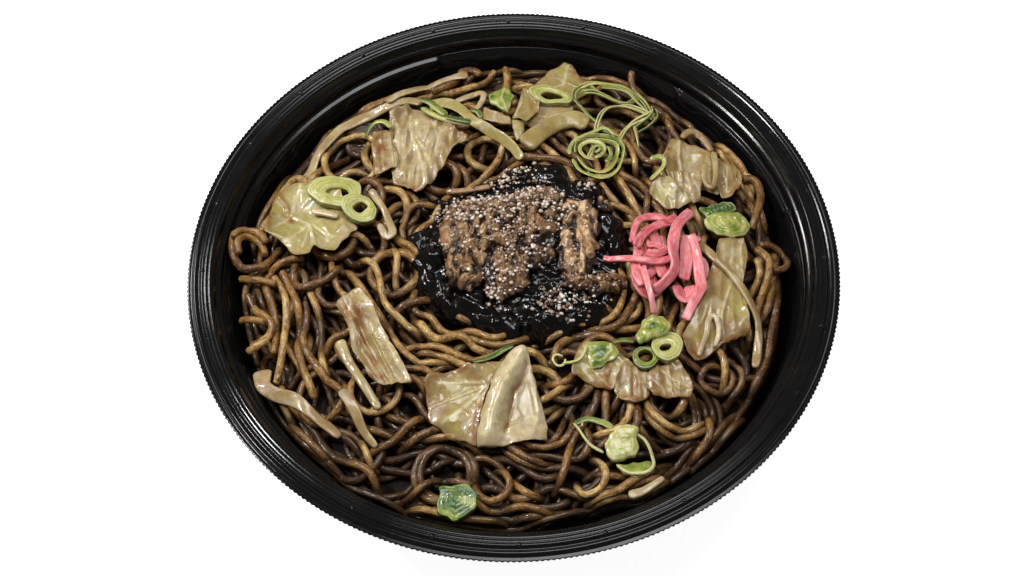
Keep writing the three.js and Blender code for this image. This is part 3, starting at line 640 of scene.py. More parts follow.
noodles_by_hand = [
    [(-86.5, 17, 1), (-87, 12, 2), (-86.6, 8, 2.4), (-85, 4.3, 2.6), (-81.5, 2.4, 2.6), (-77.8, 2.9, 2),
     (-75.6, 5, 1), (-73.9, 9), (-72, 12)],
    [(-84, 5.4, 1.4), (-85.2, 9.5, 2), (-84.1, 12, 2.6), (-82, 13.2, 2.6), (-79.3, 12.6, 2.4),
     (-77, 10.3, 1.6), (-76.6, 6.7, 0)],
    [(-86.9, 12, 0), (-85.2, 15.6, 1), (-81.6, 16, 1), (-78, 14, 0.6), (-75.6, 10, 0)],
    [(-67.1, 6), (-67.7, 0.6), (-67.1, -3.8), (-64.9, -5.9), (-60.8, -5.2), (-56.7, -3.3), (-53, 1)],
    [(-64, 6), (-70.5, 4.7), (-74.2, 3.5), (-76.1, 0.8), (-76.2, -4.1), (-74.2, -8.6), (-73, -13.6),
     (-72.2, -20), (-73, -27)],
    [(-74, 0.4), (-71.2, -3.8), (-69.5, -8.8), (-69.3, -15.9), (-69.6, -22.7), (-70.4, -30), (-72.4, -36)],
    [(-71.5, 1.8), (-68.6, -4.2), (-66.4, -9.3), (-65.1, -15.3), (-66, -23), (-64, -32), (-60, -42)],
    [(-64.3, -7.8), (-63.2, -12.1), (-63.5, -17.9), (-64.4, -22.3), (-62.4, -28), (-57, -36), (-50, -44)],
    [(-84.6, 1.6), (-80.8, -1.4), (-76.5, -2.2), (-72, -4)],
    [(-82.3, -2.9), (-80.5, -7.5), (-78, -12)],
    [(-80.5, -8.8), (-78.3, -11.3), (-74.5, -14.5), (-73.3, -18.1), (-75.3, -21.8), (-80.4, -23.6)],
    [(-84.2, -13.2), (-80.2, -14.6), (-75, -17)],
    [(-81.5, -26), (-78, -25), (-74, -22)],
    [(-75.4, 24), (-73.6, 31.6), (-70.6, 36.6), (-67, 37.6), (-64, 33)],
    [(72.5, 34), (75.8, 35.4), (78.4, 32.6), (78.6, 27.6), (76.6, 20.9), (74.4, 15)],
    [(76, 10), (82, 10.5), (85.5, 6), (84, 0), (79, -1)],
    [(75, 5), (76.5, 0), (74, -6), (71, -11)],
    [(75, 8), (79, 4), (78.5, -3), (75, -11), (73, -18)],
    [(-4.5, 82), (-8, 76), (-14, 72), (-20, 69)],
    [(-12.4, 82), (-17, 78.5), (-18, 73), (-26, 70)],
    [(-17, 78), (-12, 81), (-9, 78)],
    [(-1.3, 81.6, 1), (-0.3, 74.5, 1), (-2, 69.6), (2, 62)],
    [(40, 78), (39.5, 72), (43, 66)],
]

noodle_material = fried_noodle()
strands = []
for layer in range(8):
    strands += lay_noodles(wanted=70, layer=layer, choices=10, shortest=26, longest=150)
strands += lay_noodles(wanted=110, layer=9, choices=12, shortest=18, longest=60)
strands += [laid_by_hand(path, radius=1.2) for path in noodles_by_hand]
strands = [strand for strand in strands if not buried(*strand)]
triangle_limit = 190000
batches, batch_size = [[]], 0
for number, (route, radius) in enumerate(strands):
    triangles = 2 * noodle_sides * (len(route) + 5)
    if batch_size + triangles > triangle_limit:
        batches.append([])
        batch_size = 0
    batches[-1].append(noodle_body(route, radius, number))
    batch_size += triangles
for number, batch in enumerate(batches, 1):
    nodes = ["noodle_heap"] if number == 1 else []
    add_piece(f"noodles_{number}", joined(batch), noodle_material, nodes)


# ---- The black sauce: a thick paste spooned over the middle. It clings in wet lumps and runs down between
# the noodles at its edge.

sauce_edge = [
    (-33, 11), (-28, 20), (-21, 27), (-12.5, 29.5), (-5.5, 33.3), (-3.3, 37.7), (5.8, 39.3), (15.6, 38.2),
    (21.1, 33.7), (29.4, 31), (33.5, 22.3), (36, 14), (36.4, 5), (36, -4.4), (34, -12), (30, -17.7),
    (24, -22.5), (15, -25.5), (4, -28.2), (-5, -27), (-12, -23), (-20.5, -18.5), (-27, -12), (-31, -3),
    (-33.4, 4),
]
sauce_lumps = [
    (29.7, 12.9, 5.4, 2.8), (33, 5.6, 4.6, 2.4), (12.7, 34.2, 6.5, 1.8), (24.4, 28.4, 5.4, 2.4),
    (2.2, 31.3, 5, 2.2), (-29, 11.1, 4, 1.8), (-26, 2.6, 5, 2.2), (-22.9, -8.8, 4.4, 2.2),
    (-13.5, -14, 5, 2.4), (-19.6, -15.6, 3.6, 1.8), (-2.9, -22.8, 5, 2.0), (4.6, -16.8, 4, 1.6),
    (14.1, -14.8, 4, 1.8), (24, -18.2, 4.6, 2.2), (8.5, -22.6, 5, 2.0), (17, -21.5, 4, 1.8),
    (-9, -19.5, 4, 1.8), (30, -12.5, 4, 1.8), (-27.5, -5, 3.6, 1.6),
]


def height_on(surface, x, y):
    """The surface's height at any place, read between its cells."""
    across = np.clip(x / cell + cells_out, 1, 2 * cells_out - 2)
    along = np.clip(y / cell + cells_out, 1, 2 * cells_out - 2)
    i, j = across.astype(int), along.astype(int)
    u, v = across - i, along - j
    return ((1 - u) * (1 - v) * surface[i, j] + u * (1 - v) * surface[i + 1, j]
            + (1 - u) * v * surface[i, j + 1] + u * v * surface[i + 1, j + 1])


def widened(surface, reach):
    """Every high spot spread over that reach."""
    wanted = int(round(reach / cell))
    covered = 0
    while covered < wanted:
        step = min(2 * covered + 1, wanted - covered)
        for axis in (0, 1):
            surface = np.maximum(surface, np.maximum(np.roll(surface, step, axis),
                                                     np.roll(surface, -step, axis)))
        covered += step
    return surface


def softened(surface, reach):
    """The surface blurred over about that reach."""
    offsets = np.arange(-math.ceil(2.5 * reach / cell), math.ceil(2.5 * reach / cell) + 1)
    weights = np.exp(-(offsets * cell) ** 2 / (2 * reach ** 2))
    for axis in (0, 1):
        surface = sum(w * np.roll(surface, int(o), axis) for w, o in zip(weights / weights.sum(), offsets))
    return surface


def cover(span, softness):
    """The surface that a limp sheet takes on the pile: it spans hollows up to that wide."""
    closed = -widened(-widened(pile, span / 2), span / 2)
    return softened(closed, softness)


def settle(rows, reach=1):
    """Adds a body's top to the pile, so that what comes next lies on it."""
    down, across = np.mgrid[-reach:reach + 1, -reach:reach + 1]
    points = rows.reshape(-1, 3)
    spots = cells_at(points[:, 0], points[:, 1], down.ravel(), across.ravel())
    np.maximum.at(pile, spots, points[:, 2:])


def closed_outline(corners, spokes, rounding):
    """An outline through the corners, evenly divided, with its corners a little rounded."""
    corners = np.array(corners, float)
    doubled = np.cross(corners, np.roll(corners, -1, 0)).sum()
    if doubled < 0:
        corners = corners[::-1]
    ends = np.concatenate([corners, corners[:1]])
    along = length_along(ends)
    even = np.arange(spokes) * along[-1] / spokes
    line = np.stack([np.interp(even, along, ends[:, i]) for i in (0, 1)], 1)
    half = max(1, int(rounding / (along[-1] / spokes)))
    offsets = np.arange(-half, half + 1)
    weights = 1 - np.abs(offsets) / (half + 1)
    return sum(w * np.roll(line, int(o), 0) for w, o in zip(weights / weights.sum(), offsets))


def spread_net(corners, spokes, rings, rounding, jag, jag_size, seed):
    """Points from the middle out to an uneven outline, with how far out each ring is."""
    outline = closed_outline(corners, spokes, rounding)
    middle = np.array(corners, float).mean(0)
    outward = outline - middle
    length = np.linalg.norm(outward, axis=1)[:, None]
    uneven = jag * ripples(outline[:, 0], outline[:, 1], jag_size, seed)[:, None]
    outward = outward * (1 + uneven / length)
    out = np.concatenate([[0.01], np.linspace(0, 1, rings)[1:]])
    return middle + out[:, None, None] * outward[None], out


def sauce_rows():
    """The mound from its middle out: a low dome with lumps, its edge rounded down between the noodles."""
    plan, out = spread_net(sauce_edge, spokes=250, rings=84, rounding=4, jag=1.3, jag_size=7, seed=3)
    x, y = plan[:, :, 0], plan[:, :, 1]
    coarse, medium, fine = (ripples(x, y, size, seed) for size, seed in ((8, 21), (4, 22), (1.9, 23)))
    lumps = 1.0 * np.abs(coarse) + 0.4 * np.abs(medium) + 0.05 * fine
    blob = 0
    for lump_x, lump_y, reach, rise in sauce_lumps:
        away = np.hypot(x - lump_x, y - lump_y) / reach
        blob = np.maximum(blob, rise * np.sqrt(np.clip(1 - away ** 2, 0, 1)))
    dome = 1.5 * np.clip(1 - ((x - 2) / 36) ** 2 - ((y - 5) / 32) ** 2, 0, 1)
    top = height_on(cover(10, 2.0), x, y) + dome + lumps + 1.1 * blob - (4.0 * out ** 9)[:, None]
    under = np.minimum(top - 0.8, heap_top(x, y) - 4.5)
    return np.concatenate([np.dstack([x, y, top]), np.dstack([x, y, under])[::-6]])


def wet_black_sauce():
    material, tree, shader = shader_for("wet black sauce", (0.004, 0.0035, 0.004), 0.14, IOR=1.42)
    body = ramp(tree, noise(tree, 3, 4), [(0.35, (0.002, 0.002, 0.0022)), (0.62, (0.006, 0.004, 0.003)),
                                          (0.8, (0.018, 0.009, 0.005))])
    tree.links.new(body, shader.inputs["Base Color"])
    glossed(tree, shader, noise(tree, 6, 2), [(0.42, 0.05), (0.6, 0.2)])
    bumped(tree, shader, noise(tree, 1.6, 2), 0.12, 0.7)
    return material


rows = sauce_rows()
settle(rows)
add_piece("sauce_mound", closed_body(rows), wet_black_sauce(), ["black_sauce"])


# ---- The meat: thin slices of fried belly pork, crumpled, brown and wrinkled, with paler rims of fat.
# Coarse pepper lies thick on it and on the sauce beside it.


def near_line(x, y, path, width):
    """1 on a line and 0 away from it."""
    nearest = np.full(np.shape(x), 1e9)
    for (x0, y0), (x1, y1) in zip(path[:-1], path[1:]):
        dx, dy = x1 - x0, y1 - y0
        share = np.clip(((x - x0) * dx + (y - y0) * dy) / (dx * dx + dy * dy + 1e-9), 0, 1)
        nearest = np.minimum(nearest, np.hypot(x - x0 - share * dx, y - y0 - share * dy))
    return np.exp(-(nearest / width) ** 2)


def spotted(x, y, base, spots):
    """A value all over, raised or lowered round some spots. A spot is (x, y, reach, change)."""
    value = np.full(np.shape(x), float(base))
    for spot_x, spot_y, reach, change in spots:
        value += change * np.exp(-((x - spot_x) ** 2 + (y - spot_y) ** 2) / reach ** 2)
    return np.clip(value, 0, 1)


def with_underside(values, rows, fill):
    """Marks of a body's top, with one value for the rows under it."""
    return np.concatenate([values, np.full((len(rows) - len(values), values.shape[1]), float(fill))])


def meat_body(corners, rise, seed, spokes, rings, pale=0.1, glaze=0.1, wrinkle=1.0, ridges=(), dents=()):
    """A crumpled slice, with painted shade in its hollows and a painted highlight on its crests. A ridge is
    (path, width, height, pale, glazed), a dent (x, y, reach, depth). Glazed paints a warm orange-brown,
    partly the glaze's colour and partly a painted highlight.
    """
    plan, out = spread_net(corners, spokes, rings, rounding=2.0, jag=0.9, jag_size=4, seed=seed)
    x, y = plan[:, :, 0], plan[:, :, 1]
    bend = 1.6 * ripples(x, y, 12, seed + 1)
    folds = np.abs(ripples(x + bend, 0.55 * y, 6.0, seed + 2)) ** 0.8
    crumple = np.abs(ripples(x + bend, 0.5 * y, 2.6, seed + 3))
    grain = ripples(x, y, 1.2, seed + 4)
    raised = 0
    paleness, shine = np.full(x.shape, float(pale)), np.full(x.shape, float(glaze))
    for path, width, height, how_pale, how_glazed in ridges:
        shape = near_line(x + 0.4 * ripples(x, y, 3, seed + 5), y, path, width)
        raised = np.maximum(raised, height * shape)
        paleness = np.maximum(paleness, how_pale * shape)
        shine = np.maximum(shine, how_glazed * shape)
    rough = wrinkle * (1.3 * folds + 1.1 * crumple)
    dented = 0
    for dent_x, dent_y, reach, depth in dents:
        dented = dented + depth * np.exp(-((x - dent_x) ** 2 + (y - dent_y) ** 2) / reach ** 2)
    crown = rise * (1 - out ** 3)[:, None]
    steep = (0.3 + 0.7 * (1 - out ** 6))[:, None]
    relief = (0.85 * rough + raised + 0.2 * grain) * steep
    top = height_on(cover(6, 1.2), x, y) + 0.3 + crown + relief - dented
    under = height_on(pile, x, y) - 0.8
    rows = np.concatenate([np.dstack([x, y, top]), np.dstack([x, y, under])[::-6]])
    filled = 0.6 * rough / max(wrinkle, 0.5) * min(wrinkle + 0.5, 1)
    # How far down in a fold, hollow or dent each point lies: the material paints shade there and a
    # highlight on the crests.
    hollow = with_underside(np.clip(1.42 - filled - 0.6 * raised + 0.6 * dented, 0, 1), rows, 1)
    paleness, shine = with_underside(paleness, rows, 0), with_underside(shine, rows, 0)
    settle(rows)
    return closed_body(rows, hollow=hollow, pale=paleness, glaze=shine)


def fried_meat():
    material, tree, shader = shader_for(
        "fried meat", (0.25, 0.12, 0.05), 0.4, Subsurface_Weight=0.12, Subsurface_Scale=0.001,
        Coat_Weight=0.6, Coat_Roughness=0.1)
    body = ramp(tree, noise(tree, 3, 5), [(0.38, (0.05, 0.018, 0.008)), (0.52, (0.16, 0.07, 0.03)),
                                          (0.66, (0.46, 0.25, 0.115))])
    body = mixed(tree, ramp(tree, noise(tree, 6, 2), [(0.5, 0.0), (0.65, 0.5)]), body, (0.17, 0.06, 0.045))
    # Painted highlight: the crests of the folds are lightened.
    crest = ramp(tree, mark(tree, "hollow"), [(0.0, 0.4), (0.15, 0.0)])
    body = mixed(tree, crest, body, (0.62, 0.4, 0.2))
    soaked = ramp(tree, noise(tree, 5, 3), [(0.48, 0.0), (0.58, 0.75)])
    body = mixed(tree, soaked, body, (0.035, 0.015, 0.008))
    # Warm orange-brown on glazed ridges: partly the glaze's own colour, partly a painted highlight.
    body = mixed(tree, scaled(tree, mark(tree, "glaze"), 0.75), body, (0.27, 0.1, 0.028))
    fat = ramp(tree, noise(tree, 1.6, 3), [(0.34, (0.42, 0.22, 0.095)), (0.56, (0.8, 0.54, 0.29))])
    body = mixed(tree, mark(tree, "pale"), body, fat)
    # Painted shade: hollows and dents are darkened towards near black.
    body = mixed(tree, ramp(tree, mark(tree, "hollow"), [(0.16, 0.0), (0.48, 0.97)]), body,
                 (0.014, 0.006, 0.003))
    tree.links.new(body, shader.inputs["Base Color"])
    glossed(tree, shader, noise(tree, 2.5, 3), [(0.35, 0.22), (0.65, 0.5)])
    bumped(tree, shader, noise(tree, 0.9, 4), 0.35, 0.9)
    return material


meat_material = fried_meat()
meat_pieces = {
    "meat_main": dict(
        corners=[(-19.4, 20.8), (-10.4, 23.9), (-0.7, 23.4), (4.2, 26.6), (11.1, 27.2), (15.3, 24),
                 (15.3, 18), (14.5, 11), (13.4, 5), (10.4, -2.4), (5.6, -3.9), (4.8, -9.5), (0, -13.3),
                 (-4, -14.4), (-8, -12.8), (-9.3, -5.9), (-11.3, -1.8), (-14, 1.4), (-20.8, 2.4),
                 (-22.4, 10.9), (-21.4, 17.5)], rise=2.0, seed=31, spokes=280, rings=84,
        ridges=[([(-19.4, 18), (-21, 11), (-19.6, 5), (-17.6, 3)], 1.9, 2.0, 0.25, 0.9),
                ([(-15.3, 14.4), (-14.6, 7.3), (-12.6, 2.3), (-11.3, -1)], 1.7, 2.3, 0.5, 0.3),
                ([(-9.9, -1.9), (-8.5, 3.8), (-9.1, 9.6)], 1.2, 1.9, 0.55, 0.0),
                ([(-7, 13.7), (-4.4, 5.3), (-2.4, 4.4)], 1.5, 2.1, 0.25, 0.0),
                ([(3.9, 11.7), (1, 5.2), (-1, 3.6)], 1.5, 2.1, 0.2, 0.0),
                ([(7.6, 13), (8.8, 9), (13, 9.8)], 1.5, 1.9, 0.2, 0.9),
                ([(-4, -2), (-2, -7), (-3, -12.5)], 2.4, 2.2, 0.15, 0.0),
                ([(2.4, -1), (3, -6), (1, -11)], 1.9, 1.9, 0.2, 0.0),
                ([(-15.5, 20), (-9, 20.7), (-3, 19.4)], 1.9, 1.8, 0.2, 0.0),
                ([(3, 21.4), (9, 23.4), (13.6, 22.6)], 2.1, 2.0, 0.2, 0.0),
                ([(6, 16.6), (6.2, 11), (5, 4)], 1.4, 1.6, 0.3, 0.0),
                ([(-12, 17.4), (-11.2, 10.5)], 1.5, 1.6, 0.1, 0.0),
                ([(7.2, 0.6), (11, 1.6)], 1.8, 1.4, 0.3, 0.0)],
        dents=[(9.9, 5.6, 2.2, 2.4), (-12.2, 6.4, 1.1, 1.2), (-6.6, 1, 1.2, 1.4)]),
    "meat_round": dict(
        corners=[(-20.8, 2.3), (-17.4, 3.9), (-13.3, 1.6), (-10.6, -3), (-9.3, -7.5), (-10, -10.7),
                 (-16.1, -11.2), (-20.1, -7.2)], rise=2.6, seed=41, spokes=150, rings=44, pale=0.15,
        glaze=0.35, wrinkle=1.15,
        ridges=[([(-19, 1), (-19.4, -4), (-16, -8.5), (-11.5, -9)], 1.4, 1.2, 0.3, 1.0),
                ([(-16, -1), (-14, -4.5)], 2.4, 1.0, 0.4, 1.0)]),
    "meat_folds": dict(
        corners=[(14.3, 9), (15, 14), (14.4, 17.5), (17.3, 21), (21, 21.7), (25, 20.7), (26.5, 15),
                 (26.4, 8), (25.6, 1), (23.4, -5), (20, -7.6), (16.3, -6), (13.8, -1), (14, 4)], rise=1.6,
        seed=36, spokes=180, rings=54, pale=0.5, wrinkle=0.3,
        ridges=[([(15.7, 16.8), (18.2, 19.6), (20.4, 19.2)], 1.5, 2.3, 0.8, 0.2),
                ([(16.7, 12), (18.7, 15.4)], 1.4, 2.0, 0.75, 0.2),
                ([(22.2, 18.8), (21.9, 11.4), (23.7, 1.5)], 1.9, 3.3, 1.0, 0.0),
                ([(16.1, 7.3), (16.8, 1.5), (18.6, -4.5)], 1.8, 2.8, 0.9, 0.2),
                ([(20.2, 8.1), (21.1, 1.5), (21, -5.8)], 1.1, 2.5, 1.0, 0.0),
                ([(25, 17), (25.6, 8.5)], 0.9, 1.8, 0.6, 0.0)]),
    "meat_slice": dict(
        corners=[(14.3, -5.2), (19.7, -7.6), (25.8, -6.6), (31.9, -5), (35.3, -5.8), (33.7, -9.8),
                 (28.9, -12.2), (24.2, -13), (18.2, -11.4), (14.3, -8.6)], rise=1.1, seed=46, spokes=150,
        rings=34, pale=0.0, glaze=0.5, wrinkle=0.7,
        ridges=[([(25, -8.4), (31, -6.9), (34.2, -7.3)], 1.4, 1.4, 0.15, 1.0),
                ([(26, -11), (31.4, -10)], 1.1, 1.1, 0.3, 0.8),
                ([(17, -8.6), (22, -9.6)], 1.4, 0.8, 0.1, 0.2)]),
    "meat_scrap": dict(
        corners=[(26.2, 21), (27.8, 23.2), (31, 22), (31.3, 18.5), (28.3, 16.6)], rise=1.7, seed=47,
        spokes=60, rings=18, pale=0.3, glaze=0.3, wrinkle=0.6,
        ridges=[([(27.2, 21), (30, 18.2)], 1.1, 1.4, 0.6, 0.2)]),
}
for name, cut in meat_pieces.items():
    add_piece(f"fried_{name}", meat_body(**cut), meat_material, [name])


def laid_strip(path, width, thickness, lift=0.15, span=5, softness=1.0, bend=18.0, turn=0.0, twist=0.0,
               step=0.8, rounding=5.0, squareness=0.7, sides=12, taper=1.5, narrowing=1.0, seed=0):
    """Sections of a limp strip laid on the pile along a route. A third number lifts it there."""
    path = np.array([(*point, 0)[:3] for point in path], float)
    line = rounded(path, step, rounding)
    surface = cover(span, softness)
    tangent = np.gradient(line[:, :2], axis=0)
    tangent /= np.linalg.norm(tangent, axis=1)[:, None] + 1e-9
    aside = np.stack([tangent[:, 1], -tangent[:, 0]], 1) * width * 0.4
    right = height_on(surface, line[:, 0] + aside[:, 0], line[:, 1] + aside[:, 1])
    left = height_on(surface, line[:, 0] - aside[:, 0], line[:, 1] - aside[:, 1])
    centre = height_on(surface, line[:, 0], line[:, 1])
    height = bridged(np.maximum(centre, (left + right) / 2) + line[:, 2] + lift + thickness / 2, step, bend)
    tilt = np.clip(np.arctan2(right - left, 0.8 * width), -0.5, 0.5)
    weights = np.hanning(11) / np.hanning(11).sum()
    tilt = np.convolve(np.pad(tilt, 5, "edge"), weights, "valid")
    points, opened = blunt_ends(np.column_stack([line[:, :2], height]), 0.45)
    tilt = np.interp(np.linspace(0, 1, len(points)), np.linspace(0, 1, len(tilt)), tilt)
    along = length_along(points)
    from_end = np.minimum(along, along[-1] - along)
    draw = np.random.default_rng(seed)
    uneven = 1 + 0.1 * np.sin(along / draw.uniform(2.5, 5) + draw.uniform(0, 6))
    full = np.sqrt(1 - 0.85 * (1 - np.clip(from_end / taper, 0, 1)) ** 2)
    turned = tilt + turn + twist * np.sin(along / draw.uniform(5, 9) + draw.uniform(0, 6))
    narrowed = 1 + (narrowing - 1) * along / along[-1]
    widths, thicknesses = width * full * uneven * narrowed, thickness * opened * full ** 0.5
    rows = ribbon_rows(points, widths, thicknesses, turned, sides, squareness)
    settle(rows)
    return rows, along


rows, _ = laid_strip([(-21, 27.5), (-13, 27.5), (-6, 28.5)], width=2.2, thickness=1.2, seed=4)
add_piece("fried_meat_strip", closed_body(rows, hollow=0.1, pale=0.3, glaze=0.3), meat_material,
          ["meat_strip"])

pepper_amount, pepper_sizes = 1.5, (0.2, 0.68)
pepper_patches = [
    (-1.5, 30, 2.6, 40), (5, 31, 3, 30), (24, 27, 2, 14), (-13, 18.5, 4.2, 66), (-5, 18, 3.6, 62),
    (3, 20.5, 3.4, 60), (11, 19.5, 3.2, 56), (15, 10.5, 2.6, 24), (-2, 9.5, 4, 34), (3, 5, 3.4, 44),
    (7.5, -1, 2.6, 26), (-2, 1, 3.4, 34), (-2, -8.5, 2.6, 34), (-5.5, -12, 2.6, 26), (15.5, -15, 3, 30),
    (10, -18, 2.6, 14), (20, -17.5, 3, 16), (-17, 16, 3.0, 26), (-20, 18, 2.4, 12), (12, -11.5, 2.5, 12),
    (-22, 17, 2.5, 8), (22, -10, 3, 14), (17, 2, 2.2, 9), (22, 13, 2.5, 6), (28, -9, 2.6, 10),
    (-16, 6, 3.2, 16), (-17, -2, 3, 8), (18, -3, 2, 8),
]


def pepper_body(x, y, size, draw):
    """One crumb: a small uneven lump with a few flat sides."""
    levels = np.array([-0.55, -0.2, 0.25, 0.6]) * size
    reach = np.array([0.5, 1.0, 0.85, 0.35]) * size * draw.uniform(0.75, 1.2, 4)
    around = np.arange(6) * np.pi / 3 + draw.uniform(0, 1)
    reach = reach[:, None] * draw.uniform(0.7, 1.25, (4, 6))
    place = pile[cells_at(np.array([x]), np.array([y]))][0, 0]
    height = np.broadcast_to((place + 0.25 * size + levels)[:, None], reach.shape)
    rows = np.stack([x + reach * np.cos(around), y + reach * np.sin(around), height], -1)
    return closed_body(rows[::-1], tone=draw.uniform())


def crushed_pepper():
    material, tree, shader = shader_for("crushed pepper", (0.5, 0.4, 0.3), 0.5)
    body = ramp(tree, mark(tree, "tone"), [(0.0, (0.08, 0.035, 0.02)), (0.22, (0.26, 0.15, 0.09)),
                                           (0.45, (0.54, 0.39, 0.28)), (0.75, (0.76, 0.64, 0.52)),
                                           (1.0, (0.93, 0.86, 0.76))])
    tree.links.new(body, shader.inputs["Base Color"])
    bumped(tree, shader, noise(tree, 0.3, 2), 0.08)
    return material


draw = np.random.default_rng(77)
crumbs = [pepper_body(draw.normal(x, reach), draw.normal(y, reach), draw.uniform(*pepper_sizes), draw)
          for x, y, reach, count in pepper_patches for _ in range(int(pepper_amount * count))]
add_piece("pepper", joined(crumbs), crushed_pepper())


# ---- The cabbage: cut leaves, fried limp and glossy. They are thin, nearly see-through and browned at the
# folds, with thick pale ribs, and they lie on the noodles as they fell.


def both_sides(values, shape):
    """The same marks on a leaf's top and underside."""
    values = np.broadcast_to(values, shape)
    return np.concatenate([values, values[::-1]])


def leaf_body(corners, thickness=0.55, wrinkle=0.8, wrinkle_size=6.0, curl=0.8, veins=(), folds=(),
              green=0.1, pale=0.4, stain=0.1, green_spots=(), pale_spots=(), stain_spots=(), jag=0.16,
              seed=0, spokes=120, rings=30, span=13, softness=2.6, run=(0.0, 1.0), pleat=0.4):
    """A thin leaf laid on the pile, pleated along its run. A vein or fold is (path, width, height)."""
    plan, out = spread_net(corners, spokes, rings, rounding=0.9, jag=jag, jag_size=4, seed=seed)
    x, y = plan[:, :, 0], plan[:, :, 1]
    bend = 1.5 * ripples(x, y, 16, seed + 1)
    creases = np.clip(1 - np.abs(ripples(x + bend, y, 1.8 * wrinkle_size, seed + 2)), 0, 1) ** 6
    buckle = 0.5 + 0.5 * ripples(x, y, 2.0 * wrinkle_size, seed + 3)
    pucker = 0.07 * ripples(x, y, 0.7 * wrinkle_size, seed + 5)
    ahead, aside = x * run[0] + y * run[1], x * run[1] - y * run[0]
    pleats = pleat * (1 - np.abs(ripples(aside, 0.22 * ahead, 1.1 * wrinkle_size, seed + 7)))
    vein, fold, raised = 0, 0, 0
    for path, width, height in veins:
        shape = near_line(x, y, path, width)
        vein, raised = np.maximum(vein, shape), np.maximum(raised, height * shape)
    for path, width, height in folds:
        shape = near_line(x, y, path, width)
        fold, raised = np.maximum(fold, shape), raised + height * shape
    lifted = curl * (out ** 4)[:, None] * (0.5 + ripples(x, y, 18, seed + 4))
    wrinkles = wrinkle * (0.9 * buckle + 0.35 * creases + pucker + pleats) * (1 - 0.6 * vein)
    middle = height_on(cover(span, softness), x, y) + 0.35 + wrinkles
    middle = middle + np.maximum(lifted, -0.3) + 0.5 * raised
    thick = thickness * (1 - 0.55 * out ** 6)[:, None] + 0.5 * raised
    rows = np.concatenate([np.dstack([x, y, middle + thick]), np.dstack([x, y, middle])[::-1]])
    settle(rows)
    edge = (out ** 10)[:, None]
    browned = spotted(x, y, stain, stain_spots) + 0.9 * fold + 0.35 * edge + 0.3 * creases * (stain > 0.05)
    shape = x.shape
    # Pale spots lighten the leaf; some of them are painted glints.
    return closed_body(rows, vein=both_sides(vein, shape), stain=both_sides(np.clip(browned, 0, 1), shape),
                       green=both_sides(spotted(x, y, green, green_spots), shape),
                       pale=both_sides(spotted(x, y, pale, pale_spots), shape))


def cooked_cabbage():
    material, tree, shader = shader_for(
        "cooked cabbage", (0.5, 0.4, 0.2), 0.3, Subsurface_Weight=0.22, Subsurface_Scale=0.002,
        Coat_Weight=0.5, Coat_Roughness=0.05)
    shader.inputs["Subsurface Radius"].default_value = (1.0, 0.75, 0.35)
    body = ramp(tree, mark(tree, "pale"), [(0.0, (0.3, 0.185, 0.065)), (0.45, (0.47, 0.345, 0.15)),
                                           (1.0, (0.68, 0.56, 0.34))])
    body = mixed(tree, ramp(tree, noise(tree, 8, 5), [(0.4, 0.0), (0.62, 0.55)]), body, (0.25, 0.16, 0.05))
    body = mixed(tree, mark(tree, "green"), body, (0.42, 0.4, 0.09))
    body = mixed(tree, scaled(tree, mark(tree, "vein"), 0.65), body, (0.78, 0.67, 0.4))
    cells = ramp(tree, noise(tree, 2.4, 3), [(0.4, 0.3), (0.55, 0.0)])
    body = mixed(tree, cells, body, (0.23, 0.14, 0.05))
    glassy = ramp(tree, noise(tree, 4.2, 3), [(0.54, 0.0), (0.68, 0.4)])
    body = mixed(tree, glassy, body, (0.62, 0.545, 0.45))
    patchy = ramp(tree, noise(tree, 3, 4), [(0.35, 0.25), (0.6, 1.0)])
    browned = scaled(tree, mark(tree, "stain"), patchy)
    body = mixed(tree, browned, body, (0.25, 0.1, 0.026))
    tree.links.new(body, shader.inputs["Base Color"])
    glossed(tree, shader, noise(tree, 4, 3), [(0.38, 0.16), (0.62, 0.45)])
    bumped(tree, shader, noise(tree, 1.7, 4), 0.22, 0.8)
    return material


